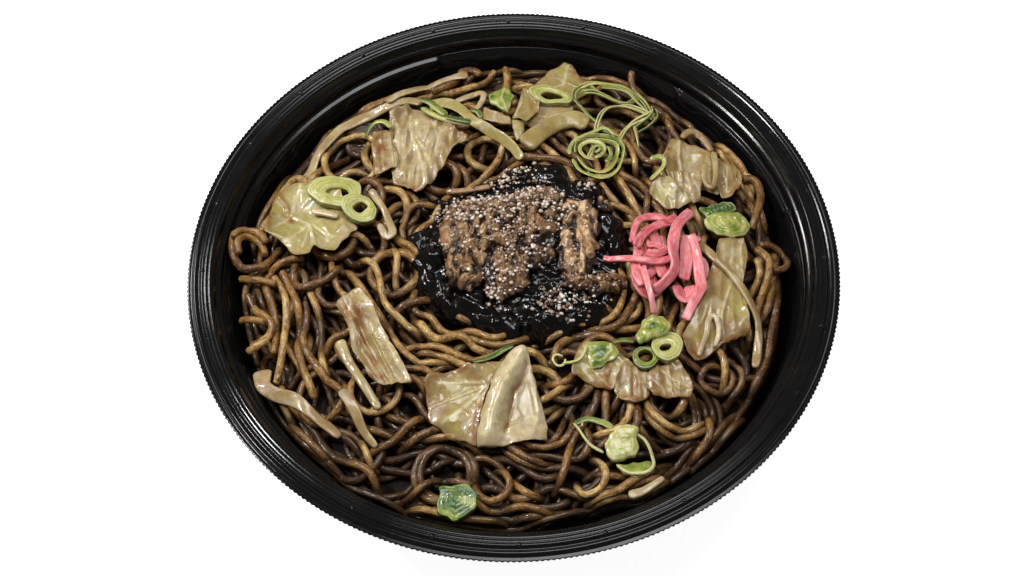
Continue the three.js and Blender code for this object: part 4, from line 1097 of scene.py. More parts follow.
cabbage_material = cooked_cabbage()
leaves = {
    "cabbage_back_left": [dict(
        corners=[(-38.8, 61.4), (-33.6, 63.4), (-29.1, 61.4), (-22.5, 55.1), (-14.5, 49.8), (-12.3, 48.5),
                 (-14.9, 45.4), (-18.5, 41.4), (-21.7, 36), (-24, 31.6), (-27.2, 28), (-29.1, 26.7),
                 (-31.1, 28), (-37.2, 31), (-37.6, 36), (-38.4, 46.1)],
        veins=[([(-31.9, 60), (-31.6, 52), (-31.1, 47.1), (-28.8, 41.1), (-27.6, 34.8),
                 (-26.8, 30)], 0.6, 1.2), ([(-36.1, 56), (-35.5, 48), (-34.8, 40)], 0.6, 1.0),
               ([(-29.3, 46.4), (-26, 40), (-25.4, 34)], 0.5, 0.6),
               ([(-24.8, 55), (-23, 48), (-24, 42)], 0.5, 0.5)],
        folds=[([(-13.4, 48.4), (-20, 53.4), (-25, 57)], 0.8, 0.6), ([(-29, 27.6), (-36, 31.2)], 1.2, 0.2)],
        # The pale spot at (-23.3, 46.3) is a painted glint.
        pale_spots=[(-17.5, 46.5, 4.5, -0.6), (-33, 50, 5, 0.3), (-23.3, 46.3, 2.4, 0.8)],
        stain_spots=[(-27, 29, 3, 0.5), (-20, 40, 2.5, 0.3), (-38, 55, 3, 0.4), (-18, 48.5, 4, 0.3)],
        run=(0.12, 0.99), pleat=1.3, wrinkle=1.2, wrinkle_size=4.5, pale=0.66, green=0.03, stain=0.03,
        curl=1.4, seed=51)],
    "cabbage_back_left_fold": [dict(
        corners=[(-44.2, 53.8), (-40, 53.2), (-37.6, 52), (-36.9, 46), (-35.4, 40), (-36, 36.4),
                 (-39.9, 35.4), (-43.4, 34.8), (-43.6, 41.3), (-44.4, 47.9)],
        veins=[([(-38.4, 50.5), (-37.8, 44), (-37, 38)], 0.5, 0.9)],
        folds=[([(-42, 51), (-41, 44), (-40.6, 38)], 1.5, 0.9)], wrinkle=0.9, wrinkle_size=4, pale=0.6,
        stain=0.3, stain_spots=[(-41, 47, 3, 0.4), (-42, 38, 2.5, 0.4)], curl=0.4, seed=52, spokes=100,
        rings=24)],
    "cabbage_left": [dict(
        corners=[(-76.8, 13.6), (-75.4, 20), (-75.1, 26.9), (-70.9, 34.3), (-66, 35.8), (-57, 35.2),
                 (-53.2, 29), (-51.5, 22), (-48.4, 15.6), (-47.9, 14.1), (-51.4, 9.8), (-54.6, 5.4),
                 (-59.4, 6), (-61.2, 8.4), (-62.3, 4.4), (-66.6, 4.5), (-72, 11.2)],
        veins=[([(-66.5, 34), (-67.5, 29), (-68.8, 22), (-63, 17.6), (-61, 9)], 0.6, 0.9),
               ([(-62.8, 17.8), (-70, 10.5)], 0.45, 0.35),
               ([(-62.8, 17.8), (-56, 12), (-52, 11)], 0.5, 0.35), ([(-62.8, 17.8), (-65, 8)], 0.4, 0.3),
               ([(-68.8, 22), (-74.4, 16)], 0.4, 0.3)],
        folds=[([(-74, 31), (-70.6, 26), (-68.8, 19)], 1.1, 0.7), ([(-76, 15), (-74.8, 26)], 0.8, 0.3)],
        run=(-0.5, 0.87), pale_spots=[(-66.8, 29, 3.5, 0.5), (-57, 10, 4, 0.4), (-63, 18, 3, 0.3)],
        stain_spots=[(-53, 13, 4, 0.25), (-74, 17, 3, 0.15)],
        green_spots=[(-70, 16, 5, 0.2), (-60, 22, 5, 0.2)], wrinkle=1.0, wrinkle_size=7.0, pale=0.5,
        green=0.42, stain=0.03, curl=1.3, seed=53, rings=34, spokes=160)],
    "cabbage_front_left": [dict(
        corners=[(-53.6, -11.4), (-48.9, -8.5), (-46, -8), (-44.9, -10.4), (-42.7, -14.6), (-40.9, -19.8),
                 (-37.8, -26.4), (-34.7, -33.3), (-32.1, -38.2), (-30.6, -41.6), (-35.5, -41.7),
                 (-38.1, -42), (-40.6, -40.9), (-44.1, -37.4), (-46.3, -32.9), (-48.5, -30.2), (-49, -26.9),
                 (-50, -21.5), (-51.8, -17.8), (-53.8, -13.7)],
        veins=[([(-46.7, -8.7), (-42.8, -16.1), (-38.8, -24.8), (-34.5, -34.8), (-31.6, -40.6)], 1.7, 1.6),
               ([(-49.4, -20), (-48.2, -24.6), (-47.7, -29)], 1.2, 1.3)],
        folds=[([(-50.6, -15.4), (-47, -18), (-45.6, -23), (-44.7, -28.5), (-42, -33.5)], 1.0, -0.5),
               ([(-45.8, -36), (-38, -40)], 1.0, 0.2)],
        pale_spots=[(-52, -11.5, 2.2, 0.6), (-43.6, -22, 2, 0.4), (-42.9, -29.4, 1.8, 0.4),
                    (-41, -36.5, 3, 0.5)],
        stain_spots=[(-49, -16.6, 3.2, 0.9), (-42.4, -33, 2, 0.5), (-45.6, -26, 2, 0.5)],
        green_spots=[(-38, -25, 4, 0.35)], wrinkle=1.1, wrinkle_size=4.5, pale=0.5, green=0.1, stain=0.16,
        curl=1.3, run=(0.43, -0.9), pleat=1.0, seed=54, spokes=170)],
    "cabbage_front_fan": [
        dict(corners=[(-14.4, -38), (-12.9, -36), (-7.4, -35.2), (-3.3, -34.7), (-4.6, -39), (-7, -43),
                      (-11, -42)], pale=0.25, green=0.35, stain=0.15, stain_spots=[(-8, -36.5, 3, 0.3)],
             curl=0.3, seed=66, spokes=80, rings=20, wrinkle=0.6),
        dict(corners=[(-27, -41.3), (-25.3, -39.5), (-19.3, -38.4), (-13.8, -37), (-10.4, -40.2),
                      (-7.4, -42.6), (-8.8, -46), (-10.1, -50.8), (-11.2, -56.2), (-11.9, -62),
                      (-16.1, -59.6), (-20.7, -57.1), (-25.7, -53.8), (-26.4, -48.3)],
             veins=[([(-24.9, -49.3), (-16, -46), (-9.3, -43.9)], 0.45, 0.55),
                    ([(-21.9, -54.4), (-16, -50.2), (-9.6, -44.6)], 0.45, 0.55),
                    ([(-23.6, -42), (-17.2, -42.3), (-9.6, -42.6)], 0.4, 0.4),
                    ([(-10.4, -47), (-15.2, -57.6)], 0.4, 0.4)],
             folds=[([(-25.6, -40.4), (-14.6, -38)], 0.8, 0.3), ([(-26.4, -42), (-25.6, -52.6)], 0.8, 0.2),
                    ([(-12.4, -60), (-11.4, -50)], 1.0, 0.2)],
             green_spots=[(-17, -44.5, 4, 0.4), (-18, -55, 3.5, 0.5)],
             pale_spots=[(-12.2, -51, 1.5, 0.7), (-16, -48, 3.5, 0.25)],
             stain_spots=[(-21, -49.5, 2, 0.4), (-12, -40.6, 2.5, 0.4), (-22, -40.6, 2.5, 0.4)],
             wrinkle=0.6, pale=0.36, green=0.14, stain=0.12, curl=1.0, run=(0.8, 0.6), seed=55)],
    "cabbage_front_rib": [dict(
        corners=[(-11.9, -62.3), (-11.5, -58.9), (-10.1, -51.8), (-7.9, -45.4), (-5.3, -38.9),
                 (-2.6, -34.2), (0, -31.9), (2.1, -31.4), (3.8, -32.4), (4.2, -34.9), (5.3, -40.1),
                 (6.9, -46.7), (8, -51.3), (9.1, -56.7), (8.8, -60.2), (6.5, -60.8), (-0.6, -61.6),
                 (-6.5, -62.5)],
        veins=[([(1.5, -33.4), (-0.8, -38.6), (-3.9, -45.5), (-6.5, -52.3), (-8.4, -60.4)], 3.3, 3.4),
               ([(5.6, -44), (6.6, -52), (4.6, -59)], 0.6, 0.5)],
        folds=[([(3.5, -36.5), (2, -41.6), (-0.6, -45.6), (-1.6, -51), (-3.4, -58)], 0.7, -0.9)],
        pale_spots=[(3.6, -47.5, 3, 0.5), (5.9, -51.3, 2.4, 0.6)],
        stain_spots=[(-1, -46.4, 1.6, 0.4), (0, -53, 2.5, 0.3), (6, -59, 3, 0.25)],
        green_spots=[(-3, -43, 5, 0.3), (-7, -54, 5, 0.25)], wrinkle=0.5, wrinkle_size=7, pale=0.95,
        green=0.05, stain=0.02, curl=1.0, run=(-0.2, 0.98), seed=56, rings=40, spokes=160)],
    "cabbage_front_right": [dict(
        corners=[(16.8, -40.2), (16.7, -37.4), (18.7, -32.6), (20.6, -29.2), (27.9, -29.6), (31.6, -33),
                 (34.3, -34.9), (32.6, -38.3), (29.9, -42.5), (28.5, -44.9), (22.7, -42.8)],
        veins=[([(33.6, -35), (30.6, -39), (28.8, -44)], 0.7, 0.7)],
        folds=[([(18, -40.6), (28, -44)], 0.9, 0.3), ([(28.4, -36.6), (26.4, -42)], 0.9, 0.5)],
        stain_spots=[(24, -41.5, 3.2, 0.45)], pale_spots=[(31.4, -36, 2, 0.4), (19, -37.6, 2, 0.3)],
        green_spots=[(24, -34, 5, 0.5)], wrinkle=0.7, wrinkle_size=6, pale=0.42, green=0.25, stain=0.12,
        curl=0.8, run=(0.7, -0.7), seed=57)],
    "cabbage_front_right_fold": [
        dict(corners=[(30.2, -39.8), (32.6, -35.6), (34.4, -35.4), (36.5, -38.2), (39.6, -39.5),
                      (39.7, -46), (38.2, -47.8), (34.7, -49.3), (30.5, -48), (29, -45.4)],
             veins=[([(33.6, -38), (33.2, -47)], 0.5, 0.6), ([(36.2, -39), (36.2, -47)], 0.4, 0.4)],
             folds=[([(35, -38), (34.6, -46.6)], 0.7, -0.5), ([(31, -47.6), (38, -48)], 0.9, 0.3)],
             wrinkle=0.9, wrinkle_size=4, pale=0.35, green=0.05, stain=0.2,
             stain_spots=[(37.4, -43, 2, 0.4)], curl=0.8, seed=58, spokes=100, rings=22),
        dict(corners=[(38.2, -40.5), (41.5, -37.4), (48.6, -34.7), (51.4, -39.5), (52.5, -42.2),
                      (51.8, -47.3), (46.7, -47.1), (40.7, -46.9), (38, -44)],
             veins=[([(43.6, -38.4), (47, -41.6), (51.4, -43.4)], 0.5, 0.6),
                    ([(41.4, -40), (44.2, -46.4)], 0.5, 0.6)],
             folds=[([(40.2, -41), (40.4, -46)], 0.7, 0.4), ([(41.6, -46.8), (51, -47)], 0.8, 0.2)],
             wrinkle=0.9, wrinkle_size=4.5, pale=0.4, green=0.02, stain=0.14,
             pale_spots=[(50.4, -41.6, 1.2, 0.8)], stain_spots=[(42, -43.6, 2, 0.4)], curl=1.0, seed=67,
             spokes=100, rings=22)],
    "cabbage_right": [dict(
        corners=[(63.6, 9.3), (71.5, 9.9), (72.5, 5.2), (71.4, -0.9), (69.6, -8), (70.3, -12.2),
                 (70.9, -16.2), (71.3, -23), (67.2, -25.4), (61.7, -28.7), (57.6, -32.6), (53.6, -34.6),
                 (51.2, -31.8), (50.1, -26.6), (52.6, -21.6), (57, -13.3), (58.9, -5.1), (62.2, 2.6)],
        veins=[([(66, -8.1), (64.5, -12.8), (62.8, -18.4), (62.5, -23)], 0.6, 0.9),
               ([(65, 7), (64.6, 1)], 0.4, 0.5), ([(68, 8), (67.4, 2)], 0.4, 0.5),
               ([(70.4, 7), (70, 0)], 0.4, 0.4)],
        folds=[([(71, -22.6), (66, -25.4), (61, -28.6)], 0.9, 0.3), ([(51, -28), (54, -34)], 1.2, 0.4)],
        green_spots=[(67.4, -15, 4, 0.55), (54, -25, 4, 0.2)],
        pale_spots=[(66.6, -14, 4, 0.4), (68, 5, 3, 0.3)],
        stain_spots=[(59, -10, 4, 0.35), (66, -22.6, 3, 0.4), (61, -5, 3, 0.25), (56.5, -29, 3, 0.2)],
        wrinkle=0.8, wrinkle_size=6.0, pale=0.32, green=0.12, stain=0.08, curl=1.0, seed=59, rings=36,
        spokes=170)],
    "cabbage_back_right": [dict(
        corners=[(51.3, 49.5), (53.8, 49.3), (59.6, 46.2), (63.3, 43.5), (66.6, 40.6), (66.4, 33),
                 (65, 26.4), (60.2, 28.6), (54, 31), (49.2, 32.2), (47.9, 40.1), (49.4, 44.5)],
        veins=[([(53.9, 48), (53.3, 41), (53.8, 34)], 0.5, 0.9),
               ([(51.9, 34.3), (55.1, 34.1), (59.9, 34.4)], 0.4, 0.5)],
        folds=[([(49.4, 44), (48.8, 38)], 1.0, 0.4)], pale_spots=[(56.5, 40, 3, 0.45), (53, 45, 1.6, 0.5)],
        stain_spots=[(50.4, 38, 2.4, 0.6), (60, 38, 2.4, 0.3)], wrinkle=0.8, wrinkle_size=6, pale=0.45,
        green=0.15, stain=0.1, curl=0.8, run=(0.1, 0.99), seed=60)],
    "cabbage_back_right_wet": [dict(
        corners=[(49.4, 33.4), (60.3, 33.8), (59.6, 28.5), (58.4, 22.7), (56.6, 21.5), (53.1, 24.6),
                 (51.1, 27.9)], veins=[([(55.2, 33), (56.3, 25.4)], 0.5, 0.8)], wrinkle=1.2, wrinkle_size=4,
        pale=0.7, pale_spots=[(54, 29, 2.4, 0.3)], green=0.05, stain=0.12, stain_spots=[(58, 28, 2, 0.4)],
        curl=0.6, seed=61, spokes=100, rings=24)],
    "cabbage_back_right_end": [dict(
        corners=[(65.6, 40.4), (68.3, 39.4), (72.2, 36.4), (72.9, 33.2), (71.7, 29.5), (69.1, 25.9),
                 (65.4, 24.6), (64.6, 30)], veins=[([(68, 38), (67.6, 28)], 0.5, 0.6)],
        folds=[([(71.8, 30), (69, 26.5)], 1.0, 0.3)], wrinkle=0.9, wrinkle_size=4.5, pale=0.35, green=0.05,
        stain=0.22, stain_spots=[(70, 34, 2.4, 0.3)], curl=0.8, seed=62, spokes=100, rings=24)],
    "cabbage_behind_ginger": [dict(
        corners=[(43.9, 28.6), (49.1, 31.8), (51.5, 27.9), (53.1, 24.6), (56.4, 22), (52.5, 20.3),
                 (47.9, 19.2), (42.8, 24.2)], veins=[([(46, 28), (50, 23)], 0.5, 0.6)], wrinkle=1.0,
        wrinkle_size=4, pale=0.65, green=0.3, stain=0.05, curl=0.8, seed=63, spokes=100, rings=24)],
    "cabbage_back": [
        dict(corners=[(9.7, 63), (20.6, 62), (19.6, 58.6), (15, 57), (10.4, 55), (6.3, 52.5), (4.8, 56.2)],
             pale=0.55, green=0.05, stain=0.12, curl=0.4, wrinkle=0.6, seed=68, spokes=90, rings=22),
        dict(corners=[(6.3, 67.7), (8.9, 72.6), (13.4, 77.7), (17.9, 81), (20.6, 80.8), (23.1, 75.4),
                      (27, 73.4), (28, 70), (24, 67.6), (20.6, 63), (17.4, 66.5), (12, 68.1)],
             veins=[([(19.4, 80), (17.6, 72), (13, 69)], 0.5, 0.5)],
             folds=[([(20.8, 79.6), (22.6, 75), (26.2, 73)], 0.9, 0.3)],
             stain_spots=[(24, 72, 3, 0.4), (13, 74, 3, 0.15)], green_spots=[(18, 76, 4, 0.3)], wrinkle=0.8,
             pale=0.3, green=0.25, stain=0.08, curl=1.0, seed=64)],
    "cabbage_back_stalk": [
        dict(corners=[(-8.4, 61.2), (-0.1, 56.4), (0.4, 53.6), (-4.4, 54.3), (-8.8, 55.9)], pale=0.5,
             green=0.0, stain=0.15, curl=0.4, wrinkle=0.6, seed=69, spokes=80, rings=18),
        dict(corners=[(0.5, 54.9), (4.7, 54), (4.1, 49), (1.9, 46.2), (0.9, 49.8)], pale=0.7, green=0.35,
             stain=0.0, curl=0.3, wrinkle=0.6, seed=70, spokes=70, rings=16),
        dict(corners=[(4.5, 68.6), (6, 67), (9.4, 62.2), (9.1, 57.7), (5.2, 52.6), (0.5, 55.6),
                      (3.3, 62.3)], veins=[([(4.4, 67), (3.8, 61), (1.6, 56)], 0.6, 0.8)],
             stain_spots=[(7, 60, 3, 0.4)], wrinkle=0.7, pale=0.15, green=0.4, stain=0.12, curl=1.2,
             seed=65, spokes=110, rings=26)],
}
for name, cuts in leaves.items():
    add_piece(f"cooked_{name}", joined([leaf_body(**cut) for cut in cuts]), cabbage_material,
              [name])


# ---- The cabbage's strips and ribs: narrow cuts of the same fried leaves, and sticks of their thicker pale
# ribs. Limp ones are twisted or folded back on themselves, and lie over what is below them.

strips = {
    "cabbage_strip_back_left": dict(
        path=[(-65, 40), (-62, 48.5), (-54, 59), (-47, 62.7), (-42, 64.3), (-37.3, 66), (-33, 66.6),
              (-28, 65.4)], width=3.4, thickness=1.0, pale=0.55, stain=0.2, green=0.1),
    "cabbage_strip_back": dict(
        path=[(-40, 65.8), (-36, 69.5), (-30, 72.4), (-22, 75), (-13, 77)], width=3.4, thickness=0.9,
        pale=0.6, stain=0.15),
    "cabbage_strip_folded": dict(
        path=[(-44.5, 30.5), (-40, 22), (-36.8, 13), (-39, 11), (-41.5, 16)], width=2.4, thickness=1.1,
        pale=0.6, stain=0.2, rounding=3.0),
    "cabbage_strip_outer_left": dict(
        path=[(-76.5, -30), (-76, -37), (-72, -40.5), (-66, -42.5), (-60, -48), (-52, -55)], width=5.6,
        thickness=0.9, pale=0.42, stain=0.3, twist=0.5, narrowing=0.45, squareness=0.5),
    "cabbage_stick_left": dict(
        path=[(-52.9, -24.6), (-50.7, -30.6), (-47.5, -36.6), (-44, -42.5), (-40.2, -48.7)], width=3.8,
        thickness=1.4, pale=0.6, stain=0.16, squareness=0.7, green=0.2, narrowing=0.55, twist=0.3),
    "cabbage_stick_front": dict(
        path=[(-52, -42), (-48, -48), (-45.6, -54), (-41, -60)], width=3.9, thickness=0.9, pale=0.5,
        stain=0.3, narrowing=0.5, twist=0.6, squareness=0.5),
    "cabbage_stub_front": dict(
        path=[(31.6, -76.4), (35, -75.6), (39, -73.4), (43, -70.4)], width=2.9, thickness=1.1, pale=1.0,
        stain=0.0, narrowing=0.7),
    "cabbage_curl_back": dict(
        path=[(-10.7, 60.6), (-8.6, 65.1), (-8.3, 68.4), (-10.7, 69.2), (-15, 67.1), (-18.3, 65.7)],
        width=1.9, thickness=1.0, pale=0.6, stain=0.15, rounding=3.0),
    "cabbage_edge_back_right": dict(
        path=[(54.5, 49.6), (56.3, 52.4), (58.7, 53.5), (60.9, 51.8), (62.5, 47.8), (64.1, 43.6)],
        width=2.3, thickness=1.4, pale=0.3, stain=0.5),
    "cabbage_rib_back": dict(
        path=[(4, 43.7), (8.9, 48.9), (14.3, 53.9), (20.3, 56.4), (25.5, 54)], width=6.0, thickness=2.3,
        pale=0.3, stain=0.35, squareness=0.6, green=0.45, sides=20),
    "cabbage_long_green": dict(
        path=[(-26.5, 66), (-22.6, 66.6), (-18.8, 64.2), (-15, 60.1), (-11.8, 55.4), (-8.1, 53),
              (-3.4, 49.2), (0.8, 44.1), (3.6, 39)], width=4.4, thickness=0.7, pale=0.5, green=0.5,
        stain=0.08, twist=0.5, narrowing=0.7, squareness=0.5),
    "cabbage_sliver_left": dict(
        path=[(-63, 22.4), (-58, 20.6), (-53.5, 18.8)], width=2.4, thickness=1.2, pale=0.85, stain=0.12),
    "cabbage_strip_right": dict(
        path=[(55.4, 10.6), (58.2, 6), (62.3, 0.4), (66.5, -3.9), (69.3, -8.3), (71.6, -13.1),
              (73.5, -17.9), (74, -22.7), (73.1, -28.6), (71.9, -35)], width=2.5, thickness=1.2, pale=0.4,
        stain=0.2),
    "cabbage_loop_right": dict(
        path=[(54.7, -33.5), (56.3, -29.1), (57.8, -25.2), (58.3, -21.4), (59.3, -19.4), (60.8, -19.6),
              (61.5, -23.4), (61.1, -26.6), (59.7, -30.2)], width=1.7, thickness=1.2, pale=0.95, stain=0.03,
        rounding=2.0),
    "cabbage_loop_back_right": dict(
        path=[(61, 37), (60.3, 30.4), (61.3, 27.6), (62.8, 27.2), (63.9, 30.2), (64.4, 36.2), (64.2, 42.7)],
        width=1.9, thickness=1.4, pale=0.5, stain=0.25, rounding=2.0),
}


def strip_body(path, width, thickness, pale, stain, green=0.0, **laying):
    """A narrow cut of leaf or rib, veined along its edges and stained here and there."""
    rows, along = laid_strip(path, width, thickness, **laying)
    rim = np.abs(np.cos(circle(rows.shape[1])))[None, :] ** 6
    fleck = 0.5 + 0.5 * np.sin(along / 4)[:, None]
    return closed_body(rows, vein=0.55 * rim, stain=np.clip(stain * (0.4 + fleck), 0, 1) + 0.1 * rim,
                       green=green, pale=np.clip(pale + 0.2 * np.sin(along / 2.7)[:, None], 0, 1))


for number, (name, cut) in enumerate(strips.items()):
    add_piece(f"cooked_{name}", strip_body(seed=number, **cut), cabbage_material, [name])


# ---- The pickled ginger: thin slices of root, pickled pink and cut into flat shreds. They lie in a small
# tumbled heap, moist, with paler cut edges. Each shred is (route, width, turn).

ginger_shreds = [
    ([(39.5, 5.5), (40.8, 0), (41.4, -5), (43, -9.5)], 3.2, 0.3),
    ([(42.5, 7.5), (41.2, 2), (39.4, -3), (38.6, -8)], 2.6, -0.2),
    ([(46.5, 1.5), (44, -3), (40.5, -7)], 2.8, 0.2),
    ([(48.5, -2), (47, -6.5), (43.6, -10.5)], 3.0, -0.3),
    ([(49.1, -8.4), (50.4, -11.9), (52.2, -14), (54.3, -11.7), (53.7, -8.2)], 4.2, 0.0),
    ([(55.9, 1.9), (58.1, 0.2), (58.7, -2.5), (57.7, -6.2)], 2.6, -0.3),
    ([(45.8, 9.8), (46.8, 6.1), (48.3, 3.4)], 2.6, 0.2),
    ([(54, 9.8), (56.3, 9), (58.1, 7.2)], 1.8, 0.0),
    ([(36.4, -5.9), (37.2, -10), (39.7, -13.1), (43.2, -12.2), (45.6, -8.6)], 2.8, 0.3),
    ([(38, 8.8), (38.2, 2.2), (37.1, -3.3), (37.3, -7.8), (39, -11.6)], 2.8, -0.3),
    ([(43, 9.5), (44.4, 4), (44, -2), (46, -8)], 3.4, 0.2),
    ([(40.5, 3.6), (43.3, 4.2), (45.5, 2.8), (48.2, 2)], 2.2, 0.2),
    ([(40.4, 0.9), (42.6, -0.5), (45.4, 0.5), (47.4, 2.4)], 2.4, -0.3),
    ([(36.3, 4.5), (37.6, 10.6), (39.3, 15), (41.6, 16.8), (44.7, 17), (47, 16.1),
      (49.6, 14.4)], 2.3, 0.35),
    ([(37.4, 2), (39.4, 6.4), (42, 9.6), (44.8, 11.7), (48.1, 14.2), (51.4, 16.4)], 3.0, -0.25),
    ([(54.2, 9.4), (53.3, 5), (53.1, 0.4), (52.4, -3.7), (51.6, -7.4)], 3.8, 0.15),
    ([(27.1, -0.1), (30.3, -1.1), (32.6, -1.8), (37.9, -2.6), (41.7, -3.2), (45.2, -2.9),
      (48, -1.5)], 2.0, 0.1),
    ([(54.7, 8.9), (56, 3.8), (56.5, -0.8), (56.6, -5.3), (57.1, -9.8), (54.9, -14.3), (53.2, -17.5),
      (51.3, -21.4)], 3.2, -0.2),
    ([(56, 19.6), (52.8, 15.4), (50.6, 11.5), (49.2, 6.2), (48.7, 1.1), (49.4, -3.9), (47.6, -7.6),
      (44.8, -10.8), (41.9, -12.6)], 3.6, 0.2),
    ([(39, -5), (40.2, -10.5), (41.1, -14.9), (42.1, -20.4)], 2.0, -0.1),
]


def ginger_body(path, width, turn, seed):
    """One flat shred, with pale cut edges and fibres that run along it."""
    draw = np.random.default_rng(seed)
    thickness = draw.uniform(0.9, 1.3)
    rows, along = laid_strip(path, width, thickness, lift=0.1, span=6, softness=1.0, bend=11, turn=turn,
                             twist=draw.uniform(0.15, 0.5), rounding=4.5, squareness=0.42, sides=16,
                             taper=0.7, seed=seed)
    around = circle(rows.shape[1])
    rim = np.abs(np.cos(around))[None, :] ** 5
    fibre = np.stack(np.broadcast_arrays((0.2 * along + 9.1 * seed)[:, None],
                                         (width / 2 * np.cos(around))[None, :],
                                         (thickness / 2 * np.sin(around))[None, :]), -1)
    return closed_body(rows, rim=rim, tone=draw.uniform(), grain=fibre)


def pickled_ginger():
    material, tree, shader = shader_for(
        "pickled ginger", (0.8, 0.16, 0.2), 0.35, Subsurface_Weight=0.5, Subsurface_Scale=0.0022,
        Coat_Weight=0.35, Coat_Roughness=0.12)
    shader.inputs["Subsurface Radius"].default_value = (1.0, 0.35, 0.35)
    uneven = summed(tree, scaled(tree, noise(tree, 4, 4), 0.7), scaled(tree, mark(tree, "tone"), 0.3))
    body = ramp(tree, uneven, [(0.3, (0.6, 0.07, 0.09)), (0.5, (0.76, 0.14, 0.17)),
                               (0.72, (0.85, 0.26, 0.28))])
    fibre = mark(tree, "grain", "Vector")
    streak = ramp(tree, noise(tree, 0.5, 3, fibre), [(0.45, 0.0), (0.65, 0.7)])
    body = mixed(tree, streak, body, (0.92, 0.45, 0.43))
    body = mixed(tree, scaled(tree, mark(tree, "rim"), 0.35), body, (0.93, 0.5, 0.48))
    tree.links.new(body, shader.inputs["Base Color"])
    glossed(tree, shader, noise(tree, 3, 3), [(0.38, 0.25), (0.62, 0.5)])
    bumped(tree, shader, noise(tree, 0.6, 3, fibre), 0.2, 0.8)
    return material


shreds = [ginger_body(*shred, 200 + number) for number, shred in enumerate(ginger_shreds)]
add_piece("ginger_shreds", joined(shreds), pickled_ginger(), ["pickled_ginger"])


# ---- The spring onion: cut rings, strips and ends of fresh green stalk. A ring is a few thin walls pressed
# together, dark outside and pale where it is cut.


def fresh_onion():
    material, tree, shader = shader_for(
        "spring onion", (0.3, 0.45, 0.08), 0.3, Subsurface_Weight=0.4, Subsurface_Scale=0.002,
        Coat_Weight=0.5, Coat_Roughness=0.08)
    shader.inputs["Subsurface Radius"].default_value = (0.9, 1.0, 0.3)
    uneven = summed(tree, scaled(tree, noise(tree, 2.6, 5), 0.6), mark(tree, "green"))
    body = ramp(tree, uneven, [(0.25, (0.67, 0.6, 0.31)), (0.52, (0.47, 0.46, 0.12)),
                               (0.82, (0.22, 0.28, 0.028)), (1.0, (0.05, 0.12, 0.012))])
    body = mixed(tree, scaled(tree, mark(tree, "cut"), 0.7), body, (0.68, 0.66, 0.36))
    tree.links.new(body, shader.inputs["Base Color"])
    glossed(tree, shader, noise(tree, 3, 3), [(0.38, 0.2), (0.62, 0.46)])
    bumped(tree, shader, noise(tree, 0.9, 3), 0.25, 0.8)
    return material


onion_material = fresh_onion()
ring_spokes, wall_rings = 96, 18


def reach_of(corners, centre, angle):
    """How far an outline is from a point inside it, in each direction."""
    line = closed_outline(corners, 240, 2.2) - centre
    turn = np.arctan2(line[:, 1], line[:, 0])
    order = np.argsort(turn)
    return np.interp(angle, turn[order], np.linalg.norm(line, axis=1)[order], period=2 * np.pi)


def ring_slice(outer, hole, height=2.0, green=0.3, inner=0.3, layers=4, lift=0.0, seed=0):
    """A slice of stalk with its hole, the ends of its layers showing as fine ridges round it."""
    centre = np.mean(hole, axis=0)
    angle = circle(ring_spokes)
    far, near = reach_of(outer, centre, angle), reach_of(hole, centre, angle)
    across = np.linspace(0.03, 0.97, wall_rings)
    share = np.concatenate([[0.0, -0.01], across, [1.0, 1.0]])[:, None]
    layered = 0.06 * np.cos(2 * np.pi * layers * across + 0.8 * np.sin(3 * across))
    cut_face = height * (0.84 + 0.16 * np.sin(np.pi * across)) + layered
    level = np.concatenate([[-0.4, 0.75 * height], cut_face, [0.6 * height, -0.4]])[:, None]
    radius = far + share * (near - far)
    x, y = centre[0] + radius * np.cos(angle), centre[1] + radius * np.sin(angle)
    base = height_on(cover(8, 2.0), x, y) + lift
    base = base.mean() + 0.6 * (base - base.mean())
    rows = np.stack([x, y, base + level * (1 + 0.08 * np.sin(2 * angle + seed))], -1)
    settle(rows)
    shade = (green + (inner - green) * np.clip(share, 0, 1)
             + 0.05 * np.cos(2 * np.pi * layers * share + np.pi))
    shade[:2] += 0.3
    lines = np.clip(np.cos(2 * np.pi * layers * share), 0, 1) ** 3 * (share > 0) * (share < 1)
    lines = np.maximum(0.3 * lines, np.exp(-((share - 0.06) / 0.07) ** 2))
    faces = [grid_faces(len(rows), ring_spokes, closed_rows=True)[:, ::-1]]
    all_round = np.ones((1, ring_spokes))
    marks = {"green": (shade * all_round).reshape(-1, 1), "cut": (lines * all_round).reshape(-1, 1)}
    return rows.reshape(-1, 3), faces, marks


